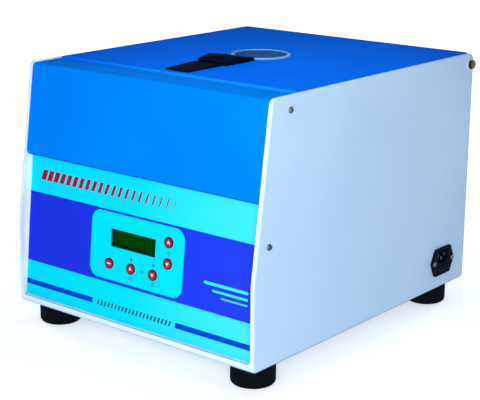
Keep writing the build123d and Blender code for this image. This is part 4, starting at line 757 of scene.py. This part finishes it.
# cast, plated and drawn metal: drawn is how the fine lines are pulled out on each axis
drawnLook = {
    "even": (1.0, 1.0, 1.0),
    "cloud": (14.0, 3.0),
    "cloudReach": (0.3, 0.7),
    "lineNoise": (3.0, 0.6),       # detail and roughness
    "lineReach": (0.3, 0.7),
    "lineShare": 0.3,
    "lineDepth": 0.0001,
    "metals": {
        "motorCasting": {
            "colours": (screenColour(150, 152, 156), screenColour(110, 112, 116)),
            "rough": (0.45, 0.65),
            "scale": 420.0,
            "depth": 0.4,
        },
        "zincPlate": {
            "colours": (screenColour(206, 208, 212), screenColour(160, 163, 168)),
            "rough": (0.22, 0.4),
            "scale": 300.0,
            "depth": 0.15,
        },
        "zincDark": {
            "colours": (screenColour(120, 126, 134), screenColour(70, 75, 82)),
            "rough": (0.25, 0.42),
            "scale": 300.0,
            "depth": 0.15,
        },
        "darkBronze": {
            "colours": (screenColour(74, 64, 38), screenColour(42, 36, 20)),
            "rough": (0.35, 0.5),
            "scale": 300.0,
            "depth": 0.15,
        },
        "dullBrass": {
            "colours": (screenColour(176, 156, 92), screenColour(128, 110, 58)),
            "rough": (0.25, 0.45),
            "scale": 300.0,
            "depth": 0.15,
        },
        "stainlessSheet": {
            "colours": (screenColour(206, 208, 210), screenColour(190, 193, 196)),
            "rough": (0.3, 0.4),
            "drawn": (1.0, 30.0, 1.0),
            "scale": 60.0,
            "depth": 0.04,
        },
    },
}


def drawnMetal(name):
    metal = drawnLook["metals"][name]
    tree, shader = startFinish(name, {"Metallic": 1.0})
    spot = objectSpot(tree)
    pulled = {"Vector": spot, "Scale": metal.get("drawn", drawnLook["even"])}
    lineSpot = put(tree, "ShaderNodeMapping", pulled).outputs["Vector"]
    lines = noiseOn(tree, lineSpot, metal["scale"], *drawnLook["lineNoise"])
    cloud = patchesOn(tree, spot, drawnLook["cloud"], drawnLook["cloudReach"])
    tree.links.new(blendColours(tree, cloud, *metal["colours"]), shader.inputs["Base Color"])
    marks = stretch(tree, lines, *drawnLook["lineReach"], 0.0, drawnLook["lineShare"])
    paintOver(tree, marks, metal["colours"][1])
    rough = stretch(tree, lines, *drawnLook["lineReach"], *metal["rough"])
    tree.links.new(rough, shader.inputs["Roughness"])
    bumpFrom(tree, shader, lines, metal["depth"], drawnLook["lineDepth"])


# metal turned on a lathe, with fine rings round the spindle
turnedLook = {
    "spindle": (0.0, 0.019),
    "waver": {"Distortion": 1.5, "Detail": 2.0, "Detail Scale": 4.0},
    "cloud": (30.0, 3.0),
    "cloudReach": (0.3, 0.7),
    "ringShare": 0.5,
    "ringHeight": 0.12,
    "ringDepth": 0.00005,
    "metals": {
        "spunBowl": {
            "colours": (screenColour(204, 206, 209), screenColour(180, 183, 187)),
            "rough": (0.2, 0.36),
            "pitch": 420.0,
        },
        "turnedAlloy": {
            "colours": (screenColour(214, 217, 221), screenColour(188, 191, 196)),
            "rough": (0.24, 0.4),
            "pitch": 600.0,
        },
    },
}


def turnedMetal(name):
    metal = turnedLook["metals"][name]
    tree, shader = startFinish(name, {"Metallic": 1.0})
    spot = objectSpot(tree)
    toSpindle = (-turnedLook["spindle"][0], -turnedLook["spindle"][1], 0.0)
    moved = put(tree, "ShaderNodeMapping", {"Vector": spot, "Location": toSpindle}).outputs["Vector"]
    values = {"Vector": moved, "Scale": metal["pitch"], **turnedLook["waver"]}
    wave = put(tree, "ShaderNodeTexWave", values, wave_type="RINGS", rings_direction="Z")
    rings = wave.outputs["Fac"]
    cloud = patchesOn(tree, spot, turnedLook["cloud"], turnedLook["cloudReach"])
    tree.links.new(blendColours(tree, cloud, *metal["colours"]), shader.inputs["Base Color"])
    ringPart = calc(tree, "MULTIPLY", rings, turnedLook["ringShare"])
    cloudPart = calc(tree, "MULTIPLY", cloud, 1.0 - turnedLook["ringShare"])
    rough = stretch(tree, calc(tree, "ADD", ringPart, cloudPart), 0.0, 1.0, *metal["rough"])
    tree.links.new(rough, shader.inputs["Roughness"])
    bumpFrom(tree, shader, rings, turnedLook["ringHeight"], turnedLook["ringDepth"])


for metalName in drawnLook["metals"]:
    drawnMetal(metalName)
for metalName in turnedLook["metals"]:
    turnedMetal(metalName)
print("metals done")


# which finish each of the model's own parts wears
wornBy = {
    "blueEnamel": ["hood"],
    "shadedBlueEnamel": ["lid_panel"],
    "paleShellShadeAndLight": ["cabinet_shell"],
    "paleShellCoat": ["rear_panel"],
    "whitePanelCoat": ["control_panel"],
    "printedFilm": ["panel_overlay"],
    "displayModule": ["lcd_module"],
    "displayPane": ["display_window"],
    "windowPane": ["lid_window"],
    "fuseGlass": ["fuses"],
    "latchMoulding": ["latch_base", "latch_grip"],
    "blackMoulding": [
        "inlet_housing", "fuse_drawer", "lid_sensor",
        "key_speed_up", "key_speed_down", "key_program", "key_time_up", "key_time_down",
    ],
    "footRubber": ["feet"],
    "softRubber": ["bowl_gasket", "shaft_seal", "motor_isolators", "cup_cushions"],
    "paleTrim": ["window_ring"],
    "washerNylon": ["hinge_washers"],
    "circuitGreen": ["control_board", "drive_board"],
    "blackPlatePaint": ["motor_plate"],
    "motorCasting": ["motor"],
    "zincPlate": [
        "side_screws", "foot_screws", "deck_screws", "inlet_screws", "rear_screws", "latch_screws",
        "motor_bolts", "hinge_nuts", "hinge_spacers", "bolt_guide", "motor_shaft", "sensor_magnet",
        "cup_1", "cup_2", "cup_3", "cup_4", "cup_5", "cup_6", "cup_7", "cup_8",
    ],
    "zincDark": ["inlet_pins", "latch_bolt"],
    "darkBronze": ["hinge_bolts"],
    "dullBrass": ["board_spacers"],
    "stainlessSheet": ["chamber_deck", "lid_liner"],
    "spunBowl": ["bowl"],
    "turnedAlloy": ["rotor_head", "rotor_nut"],
}
for finishName, nodeNames in wornBy.items():
    for nodeName in nodeNames:
        nodes[nodeName].material_slots[0].material = finishes[finishName]
print("finishes on")


def clearPick():
    if bpy.context.object and bpy.context.object.mode == "EDIT":
        bpy.ops.object.mode_set(mode="OBJECT")
    bpy.ops.object.select_all(action="DESELECT")


def pickOnly(piece):
    clearPick()
    piece.select_set(True)
    bpy.context.view_layer.objects.active = piece


def pickFaces(piece, test):
    # edit mode, with only the faces that pass the test picked
    pickOnly(piece)
    bpy.context.tool_settings.mesh_select_mode = (False, False, True)
    bpy.ops.object.mode_set(mode="EDIT")
    bpy.ops.mesh.select_all(action="DESELECT")
    bpy.ops.object.mode_set(mode="OBJECT")
    for face in piece.data.polygons:
        face.select = test(face)
    bpy.ops.object.mode_set(mode="EDIT")


def evenNormals():
    bpy.ops.mesh.select_all(action="SELECT")
    bpy.ops.mesh.normals_make_consistent(inside=False)
    bpy.ops.object.mode_set(mode="OBJECT")


def applyOn(piece, kind, **settings):
    # add a modifier, set it and apply it
    modifier = piece.modifiers.new("shape", kind)
    for key, value in settings.items():
        setattr(modifier, key, value)
    pickOnly(piece)
    bpy.ops.object.modifier_apply(modifier=modifier.name)


def roundOff(piece, width, segments=2):
    # small rounding on every sharp edge, in millimetres
    applyOn(piece, "BEVEL", width=width / perMetre, segments=segments, limit_method="ANGLE")


def roundBar(radius, bottom, top, sides=40):
    # upright cylinder, in millimetres
    clearPick()
    bpy.ops.mesh.primitive_cylinder_add(
        vertices=sides,
        radius=radius / perMetre,
        depth=(top - bottom) / perMetre,
        location=(0, 0, (bottom + top) / 2 / perMetre),
        end_fill_type="NGON",
    )
    bpy.ops.object.transform_apply(location=True, rotation=False, scale=False)
    return bpy.context.object


def boxBar(half, bottom, top):
    # upright box, in millimetres
    clearPick()
    bpy.ops.mesh.primitive_cube_add(size=1, location=(0, 0, (bottom + top) / 2 / perMetre))
    box = bpy.context.object
    box.scale = (2 * half[0] / perMetre, 2 * half[1] / perMetre, (top - bottom) / perMetre)
    bpy.ops.object.transform_apply(location=True, rotation=True, scale=True)
    return box


def openMiddle(piece, wall, flat=0.9):
    # cut the middle out of a plate and leave a wall all round
    pickFaces(piece, lambda face: abs(face.normal.z) > flat)
    bpy.ops.mesh.inset(thickness=wall / perMetre, depth=0)
    bpy.ops.mesh.bridge_edge_loops()
    evenNormals()


def domeTop(piece, steps, flat=0.9):
    # raise the top face in rings, each (inward, upward) in millimetres
    pickFaces(piece, lambda face: face.normal.z > flat)
    for inward, upward in steps:
        bpy.ops.mesh.inset(thickness=inward / perMetre, depth=upward / perMetre)
    evenNormals()


def joined(parts):
    clearPick()
    for part in parts:
        part.select_set(True)
    bpy.context.view_layer.objects.active = parts[0]
    bpy.ops.object.join()
    return bpy.context.object


def copied(piece, place):
    # a twin with its own mesh, set down at a place
    twin = piece.copy()
    twin.data = piece.data.copy()
    bpy.context.scene.collection.objects.link(twin)
    twin.matrix_world = place
    return twin


def settle(piece, name, finishName, body, smooth=35.0):
    # place goes into the mesh, then the piece gets its finish and rides on its body
    pickOnly(piece)
    bpy.ops.object.transform_apply(location=True, rotation=True, scale=True)
    piece.name = name
    piece.data.name = name
    piece.data.materials.clear()
    piece.data.materials.append(finishes[finishName])
    bpy.ops.object.shade_smooth_by_angle(angle=math.radians(smooth))
    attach(piece, body)
    return piece


def onPanel(across, rise):
    # a place on the panel's plane, with x right, y up and z out
    turn = Matrix.Rotation(math.radians(90 - panelPlane["lean"]), 4, "X")
    spot = (across / perMetre, rise / perMetre, 0)
    return Matrix.Translation(panelPlane["foot"]) @ turn @ Matrix.Translation(spot)


# key caps: a dark collar, a red dome and its sign; spots across and up, the rest out from the film
keyLook = {
    "spots": {
        "key_speed_up": (46.5, 103.6),
        "key_speed_down": (46.5, 80.0),
        "key_program": (-39.5, 63.3),
        "key_time_up": (-6.8, 63.3),
        "key_time_down": (25.9, 63.3),
    },
    "sides": 56,
    "capTop": 1.1,
    "collarRadius": 6.1,
    "collarWall": 1.15,
    "collarSpan": (-0.3, 0.3),     # from the cap's top
    "collarRound": 0.12,
    "domeRadius": 4.9,
    "domeSpan": (-0.1, 0.15),
    "domeSteps": ((0.5, 0.14), (1.1, 0.1), (1.4, 0.04)),    # inward and upward
    "signSpan": (-0.2, 0.14),      # from the dome's crown
    "signRound": 0.1,
    "bar": (3.0, 0.85),
    "triangle": 2.75,
}


def keyMasters():
    # collar, dome, bar and triangle, each made once at the origin
    top = keyLook["capTop"]
    low, high = keyLook["collarSpan"]
    collar = roundBar(keyLook["collarRadius"], top + low, top + high, keyLook["sides"])
    openMiddle(collar, keyLook["collarWall"])
    roundOff(collar, keyLook["collarRound"])

    low, high = keyLook["domeSpan"]
    dome = roundBar(keyLook["domeRadius"], top + low, top + high, keyLook["sides"])
    domeTop(dome, keyLook["domeSteps"])

    crown = top + high + sum(upward for inward, upward in keyLook["domeSteps"])
    low, high = keyLook["signSpan"]
    bar = boxBar(keyLook["bar"], crown + low, crown + high)
    roundOff(bar, keyLook["signRound"])
    triangle = roundBar(keyLook["triangle"], crown + low, crown + high, sides=3)
    roundOff(triangle, keyLook["signRound"])
    return collar, dome, bar, triangle


collar, dome, bar, triangle = keyMasters()
for keyName, keySpot in keyLook["spots"].items():
    place = onPanel(*keySpot)
    turn = Matrix.Rotation(math.pi, 4, "Z") if keyName.endswith("down") else Matrix()
    sign = bar if keyName == "key_program" else triangle
    settle(copied(collar, place), keyName + "_collar", "blackMoulding", keyName)
    settle(copied(dome, place), keyName + "_dome", "keyRed", keyName)
    settle(copied(sign, place @ turn), keyName + "_sign", "symbolWhite", keyName)
for master in (collar, dome, bar, triangle):
    bpy.data.objects.remove(master)
print("keys done")


# raised black frame round the display
displayFrame = boxBar(displayLook["frameHalf"], 0.0, displayLook["frameRise"])
openMiddle(displayFrame, displayLook["frameWall"])
roundOff(displayFrame, displayLook["frameRound"])
displayFrame.matrix_world = onPanel(*displayLook["middle"])
settle(displayFrame, "display_frame", "blackMoulding", "cabinet")
print("display frame done")


# pan-head screws with a cross recess, in millimetres; each set stands for its plain node
screwLook = {
    "headRadius": 3.6,
    "headSide": 0.9,
    "headSteps": ((0.35, 0.55), (0.75, 0.45), (0.9, 0.2)),
    "headRise": 2.2,
    "shankRadius": 1.95,
    "shankSpan": (-7.0, 0.3),
    "shankSides": 24,
    "crossHalf": (2.0, 0.42),
    "crossSpan": (0.7, 3.2),
    "crossTurns": (20, 110),       # degrees
    "inletShare": 0.8,             # the inlet's heads are smaller
    "finishes": {
        "side_screws": "zincDark",
        "inlet_screws": "zincDark",
        "rear_screws": "zincDark",
        "deck_screws": "zincPlate",
    },
}


def crossScrew():
    # head on the XY plane and shank below it
    head = roundBar(screwLook["headRadius"], 0.0, screwLook["headSide"])
    domeTop(head, screwLook["headSteps"])
    for turn in screwLook["crossTurns"]:
        slit = boxBar(screwLook["crossHalf"], *screwLook["crossSpan"])
        slit.matrix_world = Matrix.Rotation(math.radians(turn), 4, "Z")
        applyOn(head, "BOOLEAN", object=slit, operation="DIFFERENCE", solver="EXACT")
        bpy.data.objects.remove(slit)
    shank = roundBar(screwLook["shankRadius"], *screwLook["shankSpan"], screwLook["shankSides"])
    return joined([head, shank])


def pointed(spot, out):
    # a place in metres, with local Z turned to point out
    return Matrix.Translation(spot) @ Vector(out).to_track_quat("Z", "Y").to_matrix().to_4x4()


def screwPlaces(nodeName):
    # under each head of a set, worked out from the box of its plain node
    low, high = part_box(nodeName)
    reach = screwLook["headRadius"] / perMetre
    rise = screwLook["headRise"] / perMetre
    level = (low[2] + high[2]) / 2
    places = []
    if nodeName == "side_screws":
        for side in (-1, 1):
            for y, z in ((low[1] + reach, low[2] + reach), (high[1] - reach, high[2] - reach)):
                places.append(pointed((side * (high[0] - rise), y, z), (side, 0, 0)))
    elif nodeName == "inlet_screws":
        for y in (low[1] + reach, high[1] - reach):
            places.append(pointed((high[0] - rise, y, level), (1, 0, 0)))
    elif nodeName == "rear_screws":
        for x in (low[0] + reach, 0.0, high[0] - reach):
            places.append(pointed((x, high[1] - rise, level), (0, 1, 0)))
    else:
        for x in (low[0] + reach, high[0] - reach):
            for y in (low[1] + reach, high[1] - reach):
                places.append(pointed((x, y, high[2] - rise), (0, 0, 1)))
    return places


masterScrew = crossScrew()
for nodeName, finishName in screwLook["finishes"].items():
    size = Matrix.Scale(screwLook["inletShare"] if nodeName == "inlet_screws" else 1.0, 4)
    screws = [copied(masterScrew, place @ size) for place in screwPlaces(nodeName)]
    screwSet = settle(joined(screws), nodeName + "_cross", finishName, "cabinet")
    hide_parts(nodeName)
bpy.data.objects.remove(masterScrew)
print("screws done")


def onSurface(piece, x, y, above=1.0):
    # where a plumb line meets a piece, and the way its face points there
    hit, spot, outward, index = piece.ray_cast(Vector((x, y, above)), Vector((0, 0, -1)))
    return spot, outward


# ribs for the thumb on the front slope of the latch's grip; places in metres, sizes in millimetres
ribLook = {
    "across": 0.0031,              # where the plumb lines fall, just beside the middle
    "first": -0.0665,
    "pitch": 0.0031,
    "count": 5,
    "half": (15.0, 0.55),
    "span": (-0.4, 0.35),
    "round": 0.3,
    "roundSteps": 3,
}
masterRib = boxBar(ribLook["half"], *ribLook["span"])
roundOff(masterRib, ribLook["round"], ribLook["roundSteps"])
ribs = []
for index in range(ribLook["count"]):
    ribPlace = ribLook["first"] + index * ribLook["pitch"]
    spot, outward = onSurface(nodes["latch_grip"], ribLook["across"], ribPlace)
    lean = Matrix.Rotation(-math.asin(outward.y), 4, "X")
    ribs.append(copied(masterRib, Matrix.Translation((0, spot.y, spot.z)) @ lean))
bpy.data.objects.remove(masterRib)
settle(joined(ribs), "latch_grip_ribs", "latchMoulding", "latch")
print("grip ribs done")


# numbers printed on the rotor, one under each cup, in metres
numberLook = {
    "count": 8,
    "radius": 0.0435,
    "size": 0.0115,
    "thick": 0.00006,
}


def rotorNumber(number):
    # outwards from the spindle to the cup, and up the rotor's slope
    low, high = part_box(f"cup_{number}")
    spindle = Vector((*turnedLook["spindle"], 0.0))
    outwards = Vector(((low[0] + high[0]) / 2, (low[1] + high[1]) / 2, 0.0)) - spindle
    outwards.normalize()
    place = spindle + outwards * numberLook["radius"]
    spot, normal = onSurface(nodes["rotor_head"], place.x, place.y)
    upward = (outwards - normal * outwards.dot(normal)).normalized()
    clearPick()
    bpy.ops.object.text_add()
    digit = bpy.context.object
    digit.data.body = str(number)
    digit.data.size = numberLook["size"]
    digit.data.extrude = numberLook["thick"]
    digit.data.align_x = "CENTER"
    digit.data.align_y = "CENTER"
    bpy.ops.object.convert(target="MESH")
    digit = bpy.context.object
    turn = Matrix((upward.cross(normal), upward, normal)).transposed().to_4x4()
    digit.matrix_world = Matrix.Translation(spot + normal * numberLook["thick"]) @ turn
    settle(digit, f"rotor_number_{number}", "numberInk", "rotor")


for number in range(1, numberLook["count"] + 1):
    rotorNumber(number)
print("rotor numbers done")


# floor, air, lamps and camera
studioLook = {
    "floorSize": 14,
    "floorColour": screenColour(245, 245, 245),
    "floorRough": 0.9,
    "floorGloss": 0.1,
    "glow": (0.5, 0.95),           # how white the floor is seen near the object and far out
    "glowReach": (0.3, 1.1),
    "airLight": 0.16,
    "airTint": (0.8, 0.92, 1.12, 1.0),
    "white": (1.0, 1.0, 1.0, 1.0),
    "lamps": {
        "keyLamp": {
            "place": (0.75, -1.45, 0.48),
            "aim": (0, 0, 0.15),
            "size": 0.9,
            "watts": 10.3,
            "tint": (1.0, 1.0, 1.0),
        },
        "sideLamp": {
            "place": (1.05, -1.2, 0.5),
            "aim": (0, 0, 0.15),
            "size": 0.75,
            "watts": 12.9,
            "tint": (0.76, 0.9, 1.0),
        },
        "topLamp": {
            "place": (0.1, -0.1, 0.64),
            "aim": (0.1, -0.1, 0.3),
            "size": 0.25,
            "watts": 0.66,
            "tint": (0.9, 0.97, 1.0),
        },
        "leftLamp": {
            "place": (-1.9, 0.05, 0.4),
            "aim": (0, 0, 0.15),
            "size": 0.9,
            "watts": 18.5,
            "tint": (0.9, 0.97, 1.0),
        },
        "rearLamp": {
            "place": (0.2, 2.1, 0.45),
            "aim": (0, 0, 0.15),
            "size": 0.9,
            "watts": 20.5,
            "tint": (0.95, 0.98, 1.0),
        },
    },
    "cameraPlace": (0.9603, -1.1973, 0.5558),
    "cameraTurns": (39.144, 74.745, 0.449),    # round, down from overhead, and roll, in degrees
    "lens": 99.67,
    "sensor": 36.0,
    "clip": (0.05, 50),
}


def seenPlainly(tree):
    # 1 for what the camera sees, also in gloss and through clear things, and 0 for light on the object
    path = put(tree, "ShaderNodeLightPath").outputs
    return greatest(tree, [path["Is Camera Ray"], path["Is Glossy Ray"], path["Is Transmission Ray"]])


def layFloor():
    clearPick()
    bpy.ops.mesh.primitive_plane_add(size=studioLook["floorSize"])
    floor = bpy.context.object
    floor.name = "studioFloor"
    settings = {
        "Base Color": studioLook["floorColour"],
        "Roughness": studioLook["floorRough"],
        "Specular IOR Level": studioLook["floorGloss"],
    }
    tree, shader = startFinish("floorPaper", settings)
    away = put(tree, "ShaderNodeVectorMath", {0: objectSpot(tree)}, operation="LENGTH").outputs["Value"]
    farther = stretch(tree, away, *studioLook["glowReach"], *studioLook["glow"])
    strength = calc(tree, "MULTIPLY", seenPlainly(tree), farther)
    glow = put(tree, "ShaderNodeEmission", {"Color": studioLook["white"], "Strength": strength})
    both = put(tree, "ShaderNodeAddShader", {0: shader.outputs[0], 1: glow.outputs[0]})
    tree.links.new(both.outputs[0], tree.nodes["Material Output"].inputs["Surface"])
    floor.data.materials.append(finishes["floorPaper"])


def fillAir():
    world = bpy.data.worlds.new("studioAir")
    bpy.context.scene.world = world
    world.use_nodes = True
    tree = world.node_tree
    background = tree.nodes["Background"].inputs
    seen = seenPlainly(tree)
    tree.links.new(blendColours(tree, seen, studioLook["airTint"], studioLook["white"]), background["Color"])
    tree.links.new(stretch(tree, seen, 0.0, 1.0, studioLook["airLight"], 1.0), background["Strength"])


def hangLamp(lampName, look):
    data = bpy.data.lights.new(lampName, "AREA")
    data.shape = "SQUARE"
    data.size = look["size"]
    data.energy = look["watts"]
    data.color = look["tint"]
    lamp = bpy.data.objects.new(lampName, data)
    bpy.context.scene.collection.objects.link(lamp)
    lamp.location = look["place"]
    lamp.rotation_mode = "QUATERNION"
    lamp.rotation_quaternion = (Vector(look["aim"]) - Vector(look["place"])).to_track_quat("-Z", "Y")


def placeCamera():
    data = bpy.data.cameras.new("studioCamera")
    camera = bpy.data.objects.new("studioCamera", data)
    bpy.context.scene.collection.objects.link(camera)
    data.lens = studioLook["lens"]
    data.sensor_width = studioLook["sensor"]
    data.clip_start, data.clip_end = studioLook["clip"]
    matrix = Matrix.Translation(studioLook["cameraPlace"])
    for angle, axis in zip(studioLook["cameraTurns"], "ZXZ"):
        matrix = matrix @ Matrix.Rotation(math.radians(angle), 4, axis)
    camera.matrix_world = matrix
    bpy.context.scene.camera = camera


layFloor()
fillAir()
for lampName, look in studioLook["lamps"].items():
    hangLamp(lampName, look)
placeCamera()
bpy.context.scene.view_settings.view_transform = "Standard"
print("studio done")
